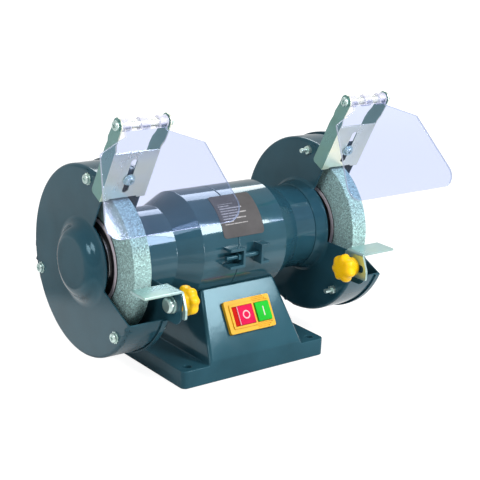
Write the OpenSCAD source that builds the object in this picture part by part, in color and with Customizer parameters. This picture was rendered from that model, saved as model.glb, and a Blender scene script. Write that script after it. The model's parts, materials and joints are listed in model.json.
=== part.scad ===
// Bench grinder with two guarded wheels on one motor spindle.
// Millimetres. X runs along the spindle, +Y is the back, +Z is up.
// The origin is on the bench, under the middle of the four mounting holes.

/* [Wheels] */
// Outside diameter of each wheel
wheel_diameter = 125; // [118:1:127]
// Width of each wheel
wheel_width = 16; // [13:0.5:18]
// Bore of each wheel
wheel_bore = 12.7; // [10:0.1:16]
// Distance between the middles of the two wheels
wheel_spacing = 225.4; // [224:0.2:234]
// Diameter of the paper blotters beside the wheels
blotter_diameter = 76; // [60:1:90]
// Diameter of the pressed flanges that clamp a wheel
flange_diameter = 56; // [44:1:64]

/* [Guards] */
// Outside diameter of a guard drum
drum_diameter = 158.8; // [156:0.2:164]
// Width of a guard from face to face
guard_width = 36.2; // [35:0.2:40]
// Thickness of the guard sheet
sheet = 1.2; // [0.8:0.1:2]
// Outside radius of the drum's bent corner
drum_corner = 3; // [2:0.25:5]
// Depth of the lip round a guard lid
lid_lip = 5.5; // [3:0.5:9]
// Height of the dome over the spindle nut
dome_height = 10; // [8:0.5:14]
// Diameter of the dome where it leaves the flat face
dome_base = 76; // [66:1:84]
// Diameter of the dome's flat top
dome_top = 40; // [30:1:50]
// Upper edge of the working opening, degrees up from the back
opening_top = 116.5; // [105:0.5:125]
// Lower edge of the working opening, degrees round from the back
opening_bottom = 204; // [195:0.5:212]
// Diameter of the circle of cover screws
cover_screw_circle = 142; // [139:0.5:143]
// Diameter of the cover screws
cover_screw = 4; // [3:0.5:5]

/* [Motor] */
// Diameter of the motor barrel
barrel_diameter = 93; // [88:1:96]
// Length of the barrel's straight part
barrel_length = 86; // [80:1:92]
// Diameter of the necks that carry the guards
neck_diameter = 74; // [70:1:78]
// Length of the cone between barrel and neck
cone_length = 20; // [14:1:22]
// Wall of the motor shells
shell_wall = 3; // [2:0.25:4]
// Place of the seam between the two shells
seam_x = -7.5; // [-15:0.5:0]
// Depth of the collar drawn out of the right drum
collar_depth = 11; // [9:0.5:13]

/* [Stand] */
// Height of the spindle above the bench
shaft_height = 101; // [97:0.2:110]
// Width of the base
base_width = 150; // [146:1:160]
// Depth of the base
base_depth = 135; // [130:1:150]
// Height of the base's top face above the bench
base_top = 16.6; // [14:0.2:19]
// Clearance under the base left by the rubber feet
foot_stand = 1; // [0.8:0.2:3]
// Mounting hole spacing across the base
hole_spacing_x = 130; // [122:1:131]
// Mounting hole spacing front to back
hole_spacing_y = 116; // [104:1:117]
// Diameter of the mounting holes
hole_diameter = 6.5; // [5:0.5:8]
// Wall of the pedestal
stand_wall = 3; // [2.5:0.25:4]

/* [Eye shields] */
// Width of a shield bracket
bracket_width = 41.4; // [41.2:0.1:46]
// Length of a bracket's plate
plate_length = 47; // [40:0.5:54]
// Gap between the bracket's lower edge and the wheel
spark_gap = 2; // [1.5:0.25:4]
// Depth of the bracket's side flanges
flange_depth = 12.6; // [10:0.2:15]
// Distance from the spindle to the shield's hinge pin
hinge_radius = 135; // [130:0.5:142]
// Forward lean of the left shield, degrees
left_lean = 9; // [7:1:40]
// Forward lean of the right shield, degrees
right_lean = 21; // [7:1:40]
// Thickness of the clear shield
shield_sheet = 2; // [1.5:0.25:3]
// Height of a shield below its hinge
shield_drop = 84.5; // [70:0.5:88]

/* [Tool rests] */
// Height of the rests' top faces above the bench
rest_height = 97; // [93:0.5:100]
// Depth of a rest's plate
rest_depth = 21; // [16:0.5:26]
// Thickness of the rests
rest_sheet = 2; // [1.5:0.25:3]
// Gap between a rest and its wheel
rest_gap = 6.6; // [6:0.2:9]
// Diameter of the clamp knobs
knob_diameter = 25; // [20:0.5:28]
// Number of lobes on a knob
knob_lobes = 7; // [5:1:9]

/* [Switch] */
// Width of the switch bezel
bezel_width = 47.6; // [42:0.2:56]
// Height of the switch bezel
bezel_height = 28.3; // [24:0.1:34]
// Distance from the pedestal's middle to the bezel's middle
bezel_offset = 1; // [0:0.5:5]

/* [Hidden] */
$fn = 96;
wheel_x = wheel_spacing / 2;
wheel_r = wheel_diameter / 2;
seat_gap = 0.3;
run_gap = 0.03;
hub_r = wheel_bore / 2;
seat_r = hub_r - run_gap;
blotter_t = 0.5;
blotter_r = blotter_diameter / 2;
flange_r = flange_diameter / 2;

guard_near = wheel_x - guard_width / 2 + 0.4;
guard_far = guard_near + guard_width;
drum_r = drum_diameter / 2;
lip_in_r = drum_r + seat_gap;
lip_out_r = lip_in_r + sheet;
lid_bend = sheet + seat_gap;
dome_base_r = dome_base / 2;
dome_top_r = dome_top / 2;
dome_run = dome_base_r - dome_top_r;
dome_bend = (dome_run * dome_run + dome_height * dome_height) / (4 * dome_height);
dome_tilt = atan2(2 * dome_bend - dome_height, dome_run);
motor_side_arc = 41;
motor_side_edge = rest_height - rest_sheet - 0.4;
cover_angles = [97, -20, -138];
cover_r = cover_screw_circle / 2;
washer_t = 0.8;
cover_head_r = 4;
cover_head_h = 2.6;
nut_r = 4;
nut_h = 3.2;
cover_screw_l = guard_width + washer_t + nut_h + 6.5;
fixing_angles = [30, 150, 270];
fixing_r = 2;
far = 400;

barrel_r = barrel_diameter / 2;
barrel_half = barrel_length / 2;
neck_r = neck_diameter / 2;
neck_start = barrel_half + cone_length;
fixing_circle_r = neck_r - 8;
right_end = guard_near - collar_depth;
left_end = guard_near;
bearing_r = 17.5;
bearing_bore = 7.5;
bearing_w = 11;
bearing_lip = 1.5;
bearing_hole_r = bearing_r + 3;
lug_out = barrel_r + 10.5;
lug_half = 8.5;
lug_wall = 2.4;
clamp_y = barrel_r + 5;
clamp_r = 2;
seam_bevel = 0.5;
left_lug = [-24, -8.4];
right_lug = [8, 17];

base_bottom = foot_stand;
base_corner = 5;
base_skin = 4;
saddle_gap = 0.2;
saddle_drop = 29.4;
saddle_land = 0.4;
ped_sill = 3.3;
ped_top = shaft_height - saddle_drop;
ped_bottom_x = base_width / 2 - 26;
ped_top_x = ped_bottom_x - 10.6;
ped_top_y = sqrt(pow(barrel_r + saddle_gap, 2) - pow(saddle_drop, 2)) + saddle_land;
ped_slope = (base_depth / 2 - ped_top_y) / (ped_top - base_top - ped_sill);
ped_bottom_y = base_depth / 2 + ped_sill * ped_slope;
ped_chamfer = 1.2;
foot_r = 7;
boss_out_r = 8;
plate_low = base_bottom + 1;
plate_screw_x = base_width - 24;
plate_screw_y = 50;
wire_hole_r = 7;
mount_screw_x = 26;
mount_screw_angle = 22;
plate_t = 1.2;
plate_inset = 4.4;
face_angle = atan2(ped_bottom_y - ped_top_y, ped_top - base_top);
face_z = 47.1;
gland_r = 6;
gland_z = 34;

cut_lean = opening_top - 90;
plate_start = wheel_r + spark_gap;
plate_end = plate_start + plate_length;
bracket_sheet = 1.2;
bracket_half = bracket_width / 2;
slot_w = 5.2;
slot_start = 73.5;
slot_end = 104;
bracket_screw_s = 84.5;
bracket_screw_r = 2;
ear_top = 92;
ear_half = 11;
hinge_set = 3.5;
hinge_end_r = 6.2;
arm_splay = 1.6;
arm_half = bracket_half + arm_splay;
splay_low = plate_end + 3;
splay_high = splay_low + 5.5;
pin_r = 2;
tube_r = 3.2;
knuckle_r = 5;
knuckle_w = 8;
knuckle_gap = 0.06;
shield_inner = -41;
shield_outer = 91;
shield_shoulder = -19;
shield_notch = [-23.5, -10.7];
shield_slope = 53;
neck_low = -9;
neck_high = -6.5;
arm_foot = 6;
arm_waist = 4;

rest_back = -(sqrt(wheel_r * wheel_r - pow(rest_height - shaft_height, 2)) + rest_gap);
rest_front = rest_back - rest_depth;
rest_reach = 36;
rest_flange_front = rest_front - 5;
rest_flange_back = rest_back + 2;
rest_flange_low = rest_height - 23;
rest_bend = 0.8;
rest_face = guard_near - seat_gap;
clamp_bolt_y = rest_back - 10;
clamp_bolt_z = rest_height - 14;
clamp_bolt_r = 3;
rest_slot_r = 3.4;
rest_slot = [clamp_bolt_y - 9, clamp_bolt_y + 7.5];
tab_front = clamp_bolt_y - 12;
tab_low = clamp_bolt_z - 15;
tab_back = tab_front + 31;
knob_r = knob_diameter / 2;
knob_h = 12;
boss_h = 5;
boss_r = 6.5;

bezel_t = 3.2;
button_h = 16.2;
stop_x = [-17.2, 3.2];
start_x = [6.6, 20.8];
button_gap = 0.35;
button_top = 4.8;
press = 2.2;
switch_w = 39;
switch_h = 21;
switch_depth = 26;
switch_mid = (stop_x[0] + start_x[1]) / 2;
stem = 6;
stem_gap = 0.4;
button_sunk = 2;
stem_end = 8;

core_half = 20;
core_bore = 23;
slots = 12;
bar_out_r = core_bore - 0.4;
winding_out_r = core_bore + 13.5;

rotor_seat = 9;
inner_flange_t = 5;
outer_flange_t = 4.5;
spindle_nut_r = 10.9;
spindle_nut_h = 6.5;
shaft_past_nut = 2.8;
shaft_bevel = 0.8;
shaft_shoulder = wheel_x - wheel_width / 2 - blotter_t - inner_flange_t;
outer_face = wheel_x + wheel_width / 2 + blotter_t;
shaft_tip = outer_face + outer_flange_t + spindle_nut_h + shaft_past_nut;

label_t = 0.35;
label_half_x = 21;
label_half_y = 19.8;
label_angle = 47;

cap_r = 14;
cap_half = 24;
cap_y = 22;
cap_z = plate_low + plate_t + 0.6 + cap_r;
block_y = -25;
terminal_pitch = 9.7;

paint = [0.23, 0.33, 0.39];
zinc = [0.70, 0.74, 0.72];
steel = [0.62, 0.64, 0.66];
grit = [0.62, 0.68, 0.67];
clear = [0.86, 0.86, 0.98, 0.35];
yellow = [0.98, 0.76, 0.08];
red = [0.86, 0.08, 0.20];
green = [0.12, 0.70, 0.18];
black = [0.10, 0.10, 0.11];
paper = [0.80, 0.74, 0.76];
copper = [0.75, 0.42, 0.22];
label_grey = [0.46, 0.45, 0.46];

function unit(v) = v / norm(v);
function half_corner(p, a, b) = acos(unit(a - p) * unit(b - p)) / 2;
function tangent_point(p, a, b, r) = p + unit(a - p) * r / tan(half_corner(p, a, b));
function corner_middle(p, a, b, r) =
  p + unit(unit(a - p) + unit(b - p)) * r / sin(half_corner(p, a, b));
function mix(a, b, t) = a + (b - a) * t;
function ped_t(z) = (z - base_top) / (ped_top - base_top);
function ped_x(z) = mix(ped_bottom_x, ped_top_x, ped_t(z));
function ped_y(z) = mix(ped_bottom_y, ped_top_y, ped_t(z));
function box_points(x0, x1, y0, y1) = [[x0, y0], [x1, y0], [x1, y1], [x0, y1]];
function frustum_side(low, high, z0, z1) = [[-low, z0], [low, z0], [high, z1], [-high, z1]];
function polar(r, a) = [r * cos(a), r * sin(a)];

// A convex outline whose corners carry their own radii.
module rounded_outline(points, radii) {
  count = len(points);
  polygon([for (i = [0 : count - 1])
    let (p = points[i], a = points[(i + count - 1) % count], b = points[(i + 1) % count], r = radii[i])
    each r > 0 ? [tangent_point(p, a, b, r), tangent_point(p, b, a, r)] : [p]]);
  for (i = [0 : count - 1])
    if (radii[i] > 0)
      translate(corner_middle(points[i], points[(i + count - 1) % count], points[(i + 1) % count], radii[i]))
        circle(r = radii[i]);
}

module rounded_box(x0, x1, y0, y1, r) {
  rounded_outline(box_points(x0, x1, y0, y1), [r, r, r, r]);
}

module long_hole(p, q, r) {
  along = unit(q - p);
  side = [-along[1], along[0]] * r;
  polygon([p + side, q + side, q - side, p - side]);
  translate(p) circle(r = r);
  translate(q) circle(r = r);
}

module wedge(a0, a1, r) {
  middle = (a0 + a1) / 2;
  polygon([[0, 0], polar(r, a0), polar(r * 1.5, middle), polar(r, a1)]);
}

// Bodies of revolution about the spindle: (radius, x) profiles.
module on_spindle() {
  translate([0, 0, shaft_height]) children();
}

module turned() {
  on_spindle() rotate([0, 90, 0]) rotate_extrude() children();
}

module rod(r, x0, x1) {
  translate([x0, 0, 0]) rotate([0, 90, 0]) cylinder(r = r, h = x1 - x0);
}

// Extrudes a (y, z) outline along x.
module side_plate(x0, x1) {
  translate([x0, 0, 0]) rotate([90, 0, 90]) linear_extrude(x1 - x0) children();
}

module at_yz(y, z) {
  translate([0, y, z]) children();
}

module around_spindle(r, a) {
  on_spindle() at_yz(r * cos(a), r * sin(a)) children();
}

module pan_head(r, h) {
  difference() {
    rotate_extrude() rounded_outline(box_points(0, r, 0, h), [0, 0, h * 0.5, 0]);
    for (turn = [0, 90])
      rotate([0, 0, turn]) translate([-r * 0.55, -0.45, h * 0.5]) cube([r * 1.1, 0.9, h]);
  }
}

module pan_screw(r, length, head_r, head_h) {
  pan_head(head_r, head_h);
  translate([0, 0, -length]) cylinder(r = r, h = length + head_h * 0.3);
}

module hex_nut(across_r, bore_r, h) {
  difference() {
    cylinder(r = across_r, h = h, $fn = 6);
    translate([0, 0, -1]) cylinder(r = bore_r, h = h + 2);
  }
}

module ring(out_r, in_r, h) {
  difference() {
    cylinder(r = out_r, h = h);
    translate([0, 0, -1]) cylinder(r = in_r, h = h + 2);
  }
}

module face_out(x) {
  translate([x, 0, 0]) rotate([0, 90, 0]) children();
}

module face_in(x) {
  translate([x, 0, 0]) rotate([0, -90, 0]) children();
}

// Stand -------------------------------------------------------------------

// Pedestal whose front and back stand upright where they reach the base's outline.
module pedestal_block(z0, z1, inset) {
  intersection() {
    cube([far, base_depth - inset * 2, far], center = true);
    translate([0, far / 2, 0]) rotate([90, 0, 0]) linear_extrude(far)
      polygon(frustum_side(ped_x(z0) - inset, ped_x(z1) - inset, z0, z1));
    side_plate(-far / 2, far / 2)
      polygon(frustum_side(ped_y(z0) - inset, ped_y(z1) - inset, z0, z1));
  }
}

module pedestal_edges() {
  drop = ped_top - base_top;
  rise = (ped_bottom_x - ped_top_x + ped_bottom_y - ped_top_y) / drop;
  lean = atan2(rise, sqrt(2));
  for (sx = [0, 1], sy = [0, 1])
    mirror([sx, 0, 0]) mirror([0, sy, 0])
      translate([ped_bottom_x, ped_bottom_y, base_top]) rotate([0, 0, 45]) rotate([0, -lean, 0])
        translate([-ped_chamfer, -far / 4, -far / 4]) cube([far / 8, far / 2, far / 2]);
}

module at_holes(dx, dy) {
  for (x = [-dx / 2, dx / 2], y = [-dy / 2, dy / 2]) translate([x, y, 0]) children();
}

module base_block() {
  difference() {
    translate([0, 0, base_bottom]) linear_extrude(base_top - base_bottom)
      rounded_box(-base_width / 2, base_width / 2, -base_depth / 2, base_depth / 2, base_corner);
    translate([0, 0, base_bottom - 1]) linear_extrude(base_top - base_bottom - base_skin + 1)
      rounded_box(-base_width / 2 + base_skin, base_width / 2 - base_skin,
        -base_depth / 2 + base_skin, base_depth / 2 - base_skin, 1.5);
  }
  at_holes(hole_spacing_x, hole_spacing_y)
    translate([0, 0, base_bottom + 1]) cylinder(r = boss_out_r, h = base_top - base_bottom - 2);
  at_holes(plate_screw_x, plate_screw_y)
    translate([0, 0, base_bottom + 1 + plate_t]) cylinder(r = 4, h = base_top - base_bottom - 3);
}

module stand() {
  color(paint)
    difference() {
      union() {
        base_block();
        difference() {
          pedestal_block(base_top - 2, ped_top, 0);
          pedestal_edges();
        }
      }
      difference() {
        pedestal_block(-1, ped_top - 4, stand_wall);
        on_spindle() rod(barrel_r + stand_wall, -far / 2, far / 2);
      }
      on_spindle() rod(barrel_r + saddle_gap, -far / 2, far / 2);
      at_holes(hole_spacing_x, hole_spacing_y) translate([0, 0, -1]) {
        cylinder(r = hole_diameter / 2, h = base_top + 2);
        cylinder(r = foot_r + seat_gap, h = plate_low + 1);
      }
      at_holes(plate_screw_x, plate_screw_y) cylinder(r = 1.3, h = base_top - 3);
      translate([0, 0, shaft_height - barrel_r - stand_wall - 3]) cylinder(r = wire_hole_r, h = 12);
      motor_screw_places() translate([0, 0, -14]) cylinder(r = 2.2, h = 16);
      on_front() translate([bezel_offset + switch_mid, 0, -8]) linear_extrude(12)
        square([switch_w + 1.2, switch_h + 1.2], center = true);
      on_back() translate([0, 0, -8]) cylinder(r = gland_r + 0.2, h = 12);
    }
}

module on_front() {
  translate([0, -ped_y(face_z), face_z]) rotate([90 - face_angle, 0, 0]) children();
}

module on_back() {
  rotate([0, 0, 180]) translate([0, -ped_y(gland_z), gland_z]) rotate([90 - face_angle, 0, 0]) children();
}

// Screws that pull the barrel down into its saddle, axes through the spindle.
module motor_screw_places() {
  for (x = [-mount_screw_x, mount_screw_x], a = [-mount_screw_angle, mount_screw_angle])
    translate([x, 0, shaft_height]) rotate([a, 0, 0]) translate([0, 0, -barrel_r]) children();
}

module motor_mount_screws() {
  color(zinc)
    motor_screw_places() translate([0, 0, -stand_wall]) mirror([0, 0, 1])
      pan_screw(2, stand_wall + 2.6, 3.8, 2.6);
}

module bottom_plate() {
  color(zinc)
    difference() {
      translate([0, 0, plate_low]) linear_extrude(plate_t)
        rounded_box(-base_width / 2 + plate_inset, base_width / 2 - plate_inset,
          -base_depth / 2 + plate_inset, base_depth / 2 - plate_inset, 1);
      at_holes(hole_spacing_x, hole_spacing_y) translate([0, 0, -1]) cylinder(r = boss_out_r + seat_gap, h = 8);
      at_holes(plate_screw_x, plate_screw_y) translate([0, 0, -1]) cylinder(r = 1.8, h = 8);
      for (i = [-4 : 4]) translate([i * 8, 0, -1]) linear_extrude(8) long_hole([0, -14], [0, 14], 1.5);
    }
}

module bottom_plate_screws() {
  color(zinc)
    at_holes(plate_screw_x, plate_screw_y) translate([0, 0, plate_low]) mirror([0, 0, 1])
      pan_screw(1.3, 6, 2.8, 1.6);
}

module rubber_feet() {
  color(black)
    at_holes(hole_spacing_x, hole_spacing_y)
      rotate_extrude() rounded_outline([[hole_diameter / 2, 0], [foot_r - 0.6, 0],
        [foot_r, plate_low], [hole_diameter / 2, plate_low]], [0, 0.8, 0, 0]);
}

// Motor -------------------------------------------------------------------

module clamp_lug(x0, x1, wall_first) {
  wall_x = wall_first ? x0 : x1 - lug_wall;
  for (s = [-1, 1])
    on_spindle() mirror([0, s > 0 ? 0 : 1, 0]) difference() {
      union() {
        translate([wall_x, -lug_out, -lug_half]) cube([lug_wall, lug_out - barrel_r + 2.5, lug_half * 2]);
        for (z = [-lug_half, lug_half - lug_wall])
          translate([x0, -lug_out, z]) cube([x1 - x0, lug_out - barrel_r + 2.5, lug_wall]);
      }
      at_yz(-clamp_y, 0) rod(clamp_r + 0.25, x0 - 1, x1 + 1);
    }
}

// Half shell from the seam to its end wall, with the bearing's seat, in (radius, x).
module shell_profile(start, end) {
  wall = shell_wall;
  seat = end - bearing_lip;
  housing = seat - bearing_w - 1;
  polygon([[barrel_r - seam_bevel, start], [barrel_r, start + seam_bevel], [barrel_r, barrel_half],
    [neck_r, neck_start], [neck_r, end], [bearing_bore + 2, end], [bearing_bore + 2, seat],
    [bearing_r, seat], [bearing_r, housing], [bearing_r + wall, housing],
    [bearing_r + wall, end - wall], [neck_r - wall, end - wall], [neck_r - wall, neck_start],
    [barrel_r - wall, barrel_half - 0.8], [barrel_r - wall, start]]);
}

module shell_holes(x) {
  for (a = fixing_angles) around_spindle(fixing_circle_r, a) rod(1.6, x - 6, x + 6);
  motor_screw_places() translate([0, 0, -3]) cylinder(r = 2.2, h = 12);
  translate([0, 0, shaft_height - barrel_r - 3]) cylinder(r = wire_hole_r - 1, h = 12);
}

module shell_fins(x0, x1) {
  for (a = [45 : 90 : 315])
    on_spindle() rotate([a, 0, 0]) translate([x0, -1, neck_r - shell_wall - 6]) cube([x1 - x0, 2, 7]);
}

module fixing_bosses(x0, x1) {
  for (a = fixing_angles) around_spindle(fixing_circle_r, a) rod(4.2, x0, x1);
}

module motor_shell_right() {
  color(paint)
    difference() {
      union() {
        turned() shell_profile(seam_x, right_end);
        clamp_lug(right_lug[0], right_lug[1], true);
        fixing_bosses(right_end - 10, right_end - 1);
        shell_fins(neck_start, right_end - 1);
      }
      shell_holes(right_end);
    }
}

module motor_shell_left() {
  color(paint)
    difference() {
      union() {
        mirror([1, 0, 0]) turned() shell_profile(-seam_x, left_end);
        clamp_lug(left_lug[0], left_lug[1], false);
        fixing_bosses(-left_end + 1, -left_end + 10);
        shell_fins(-left_end + 1, -neck_start);
      }
      shell_holes(-left_end);
    }
}

module clamp_places() {
  for (s = [0, 1]) mirror([0, s, 0]) on_spindle() at_yz(-clamp_y, 0) children();
}

module shell_clamp_screws() {
  color(zinc)
    clamp_places() face_out(right_lug[0] + lug_wall)
      pan_screw(clamp_r, right_lug[0] + lug_wall + 25, 3.6, 2.6);
}

module shell_clamp_nuts() {
  color(zinc)
    clamp_places() face_in(left_lug[1] - lug_wall) hex_nut(nut_r - 0.3, clamp_r + 0.02, nut_h);
}

module stator_core() {
  color(steel)
    on_spindle() difference() {
      rod(barrel_r - shell_wall - 0.2, -core_half, core_half);
      rod(core_bore, -core_half - 1, core_half + 1);
      for (i = [0 : slots - 1]) rotate([i * 360 / slots, 0, 0]) {
        translate([-core_half - 1, -3, core_bore + 2]) cube([core_half * 2 + 2, 6, 10]);
        translate([-core_half - 1, -0.9, core_bore - 2]) cube([core_half * 2 + 2, 1.8, 6]);
      }
    }
}

module stator_windings() {
  color(copper) {
    for (side = [0, 1]) mirror([side, 0, 0])
      turned() rounded_box(core_bore + 2.4, winding_out_r, core_half + seat_gap, core_half + 13, 3);
    for (i = [0 : slots - 1]) on_spindle() rotate([i * 360 / slots, 0, 0])
      translate([-core_half - 2, -2.7, core_bore + 3.2]) cube([core_half * 2 + 4, 5.4, 8]);
  }
}

module rotor_core() {
  color(steel)
    on_spindle() difference() {
      union() {
        rod(bar_out_r, -core_half, core_half);
        for (side = [0, 1]) mirror([side, 0, 0]) difference() {
          rod(core_bore - 1.4, core_half - 1, core_half + 4);
          rod(core_bore - 7, core_half, core_half + 5);
        }
      }
      rod(rotor_seat, -core_half - 8, core_half + 8);
    }
}

module shaft() {
  color(steel)
    turned() polygon([[0, -shaft_tip], [seat_r - shaft_bevel, -shaft_tip], [seat_r, -shaft_tip + shaft_bevel],
      [seat_r, -shaft_shoulder], [bearing_bore, -shaft_shoulder], [bearing_bore, -left_end + 14],
      [rotor_seat, -left_end + 14], [rotor_seat, right_end - 14], [bearing_bore, right_end - 14],
      [bearing_bore, shaft_shoulder], [seat_r, shaft_shoulder], [seat_r, shaft_tip - shaft_bevel],
      [seat_r - shaft_bevel, shaft_tip], [0, shaft_tip]]);
}

module bearing(x0) {
  color(steel)
    turned() difference() {
      rounded_box(bearing_bore + run_gap, bearing_r - 0.02, x0, x0 + bearing_w, 0.6);
      for (x = [x0, x0 + bearing_w])
        translate([(bearing_r + bearing_bore) / 2, x]) square([5, 0.8], center = true);
    }
}

module bearing_left() {
  bearing(-left_end + bearing_lip);
}

module bearing_right() {
  bearing(right_end - bearing_lip - bearing_w);
}

module wave_washer() {
  color(steel)
    on_spindle() face_out(-left_end + bearing_lip + bearing_w) ring(bearing_r - 0.3, bearing_r - 3.5, 0.6);
}

module flange_cup(t) {
  polygon([[seat_r + run_gap, 0], [flange_r - 5, 0], [flange_r, t - 1], [flange_r, t],
    [flange_r - 6, t], [flange_r - 8, t - 0.8], [14, t - 0.8], [12, t], [seat_r + run_gap, t]]);
}

module inner_flanges() {
  color(zinc)
    for (side = [0, 1]) mirror([side, 0, 0])
      turned() translate([0, shaft_shoulder]) flange_cup(inner_flange_t);
}

module outer_flanges() {
  color(zinc)
    for (side = [0, 1]) mirror([side, 0, 0])
      turned() translate([0, outer_face + outer_flange_t]) mirror([0, 1]) flange_cup(outer_flange_t);
}

module wheel_blotters() {
  color(paper)
    for (side = [0, 1], x = [wheel_x - wheel_width / 2 - blotter_t, wheel_x + wheel_width / 2])
      mirror([side, 0, 0]) on_spindle() face_out(x) ring(blotter_r, hub_r + 0.4, blotter_t);
}

module wheel(x) {
  color(grit)
    turned() rounded_outline(box_points(hub_r, wheel_r, x - wheel_width / 2, x + wheel_width / 2),
      [0, 0.8, 0.8, 0]);
}

module wheel_left() {
  wheel(-wheel_x);
}

module wheel_right() {
  wheel(wheel_x);
}

module spindle_nuts() {
  color(zinc)
    for (side = [0, 1]) mirror([side, 0, 0]) on_spindle() face_out(outer_face + outer_flange_t)
      intersection() {
        hex_nut(spindle_nut_r, seat_r + run_gap, spindle_nut_h);
        rotate_extrude() rounded_outline(box_points(0, spindle_nut_r, 0, spindle_nut_h), [0, 0, 1.4, 0]);
      }
}

// Guards ------------------------------------------------------------------

// Sheet band that follows an arc of the given outside radius between two angles.
module bent_band(middle, r_out, a0, a1) {
  translate(middle) intersection() {
    difference() {
      circle(r = r_out);
      circle(r = r_out - sheet);
    }
    polygon([[0, 0], polar(r_out * 2, a0), polar(r_out * 2, a1)]);
  }
}

// Pressed dome: flat top, convex bend, concave bend, in (radius, height).
module dome_profile() {
  translate([0, dome_height - sheet]) square([dome_top_r, sheet]);
  bent_band([dome_top_r, dome_height - dome_bend], dome_bend, dome_tilt, 90);
  bent_band([dome_base_r, dome_bend], dome_bend + sheet, 180 + dome_tilt, 270);
}

module drum_wall_profile() {
  straight = guard_width - sheet - drum_corner;
  bent_band([drum_r - drum_corner, -drum_corner], drum_corner, 0, 90);
  translate([drum_r - sheet, -drum_corner - straight]) square([sheet, straight]);
}

module collar_profile() {
  neck_out = neck_r + 0.6;
  polygon([[motor_side_arc + 2, 0], [motor_side_arc - 0.4, 1.6], [neck_out, collar_depth],
    [bearing_hole_r, collar_depth], [bearing_hole_r, collar_depth - sheet],
    [neck_out - sheet, collar_depth - sheet],
    [motor_side_arc - 0.4 - sheet, 0.9], [motor_side_arc + 1.4, -sheet], [motor_side_arc + 2, -sheet]]);
}

module face_band(r0) {
  translate([r0, -sheet]) square([drum_r - drum_corner - r0, sheet]);
}

module cover_holes(x0, x1) {
  for (a = cover_angles) around_spindle(cover_r, a) rod(cover_screw / 2 + 0.25, x0, x1);
}

module fixing_holes(x0, x1) {
  for (a = fixing_angles) around_spindle(fixing_circle_r, a) rod(fixing_r + 0.2, x0, x1);
}

module opening_prism(x0, x1) {
  on_spindle() side_plate(x0, x1) wedge(opening_top, opening_bottom, far / 2);
}

// Outer face: the opening stops at the foot of the dome.
module outer_opening(x0, x1) {
  difference() {
    opening_prism(x0, x1);
    on_spindle() rod(dome_base_r - 0.4, x0 - 1, x1 + 1);
  }
}

// Motor side: the opening stops at a level edge, which carries the rest tab.
module inner_opening(x0, x1) {
  difference() {
    opening_prism(x0, x1);
    on_spindle() rod(motor_side_arc, x0 - 1, x1 + 1);
    translate([x0 - 1, -far / 2, motor_side_edge - far / 4]) cube([x1 - x0 + 2, far, far / 4]);
  }
}

module rest_tab(x0, x1) {
  difference() {
    side_plate(x0, x1)
      rounded_outline([[tab_front, tab_low], [tab_back, tab_low],
        [tab_back, motor_side_edge], [tab_front, motor_side_edge]], [8, 0, 0, 4]);
    clamp_hole(x0 - 1, x1 + 1);
  }
}

module clamp_hole(x0, x1) {
  at_yz(clamp_bolt_y, clamp_bolt_z) rod(clamp_bolt_r + 0.1, x0, x1);
}

// Ear bent outwards at the drum's upper cut; the bracket's screw goes through it.
module rim_ear(middle) {
  in_cut_frame() difference() {
    translate([middle - ear_half, 0, drum_r - sheet]) cube([ear_half * 2, sheet, ear_top - drum_r + sheet]);
    translate([middle, -1, bracket_screw_s]) rotate([-90, 0, 0]) cylinder(r = bracket_screw_r + 0.2, h = 6);
  }
}

module in_cut_frame() {
  on_spindle() rotate([cut_lean, 0, 0]) children();
}

module drum_wall(face) {
  difference() {
    translate([face, 0, 0]) mirror([1, 0, 0]) turned() drum_wall_profile();
    opening_prism(face - 1, face + far / 4);
  }
}

module guard_drum_left() {
  face = -guard_far;
  color(paint) {
    difference() {
      translate([face, 0, 0]) mirror([1, 0, 0]) turned() {
        dome_profile();
        face_band(dome_base_r);
        drum_wall_profile();
      }
      outer_opening(face - dome_height - 1, face + far / 4);
      cover_holes(face - 2, face + 4);
    }
    rim_ear(-wheel_x);
  }
}

module guard_drum_right() {
  face = guard_near;
  color(paint) {
    difference() {
      translate([face, 0, 0]) mirror([1, 0, 0]) turned() {
        collar_profile();
        face_band(motor_side_arc + 1);
      }
      inner_opening(face - collar_depth - 1, face + 4);
      cover_holes(face - 2, face + 4);
      fixing_holes(right_end - 1, right_end + 4);
    }
    difference() {
      rest_tab(face, face + sheet);
      on_spindle() rod(lip_in_r - 6, face - 1, face + 3);
    }
    drum_wall(face);
    rim_ear(wheel_x);
  }
}

module lip_profile() {
  bent_band([lip_out_r - lid_bend, -lid_bend], lid_bend, 0, 90);
  translate([lip_in_r, -lid_lip]) square([sheet, lid_lip - lid_bend]);
}

module lid_face_profile(r0) {
  translate([r0, -sheet]) square([lip_out_r - lid_bend - r0, sheet]);
}

module guard_lid_left() {
  face = -guard_near;
  color(paint) {
    difference() {
      translate([face, 0, 0]) turned() lid_face_profile(bearing_hole_r);
      inner_opening(face - 4, face + 1);
      clamp_hole(face - 4, face + 1);
      cover_holes(face - 4, face + 2);
      fixing_holes(face - 4, face + 1);
    }
    difference() {
      translate([face, 0, 0]) turned() lip_profile();
      opening_prism(face - lid_lip - 1, face + 1);
    }
    difference() {
      rest_tab(face - sheet, face);
      on_spindle() rod(lip_in_r - 6, face - 3, face + 1);
    }
  }
}

module guard_lid_right() {
  face = guard_far;
  color(paint)
    difference() {
      translate([face, 0, 0]) turned() {
        dome_profile();
        lid_face_profile(dome_base_r);
        lip_profile();
      }
      outer_opening(face - lid_lip - 1, face + dome_height + 1);
      cover_holes(face - 4, face + 2);
    }
}

module cover_screws() {
  color(zinc)
    for (a = cover_angles) {
      around_spindle(cover_r, a) face_in(-guard_far - washer_t)
        pan_screw(cover_screw / 2, cover_screw_l, cover_head_r, cover_head_h);
      around_spindle(cover_r, a) face_out(guard_far + washer_t)
        pan_screw(cover_screw / 2, cover_screw_l, cover_head_r, cover_head_h);
    }
}

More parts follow.
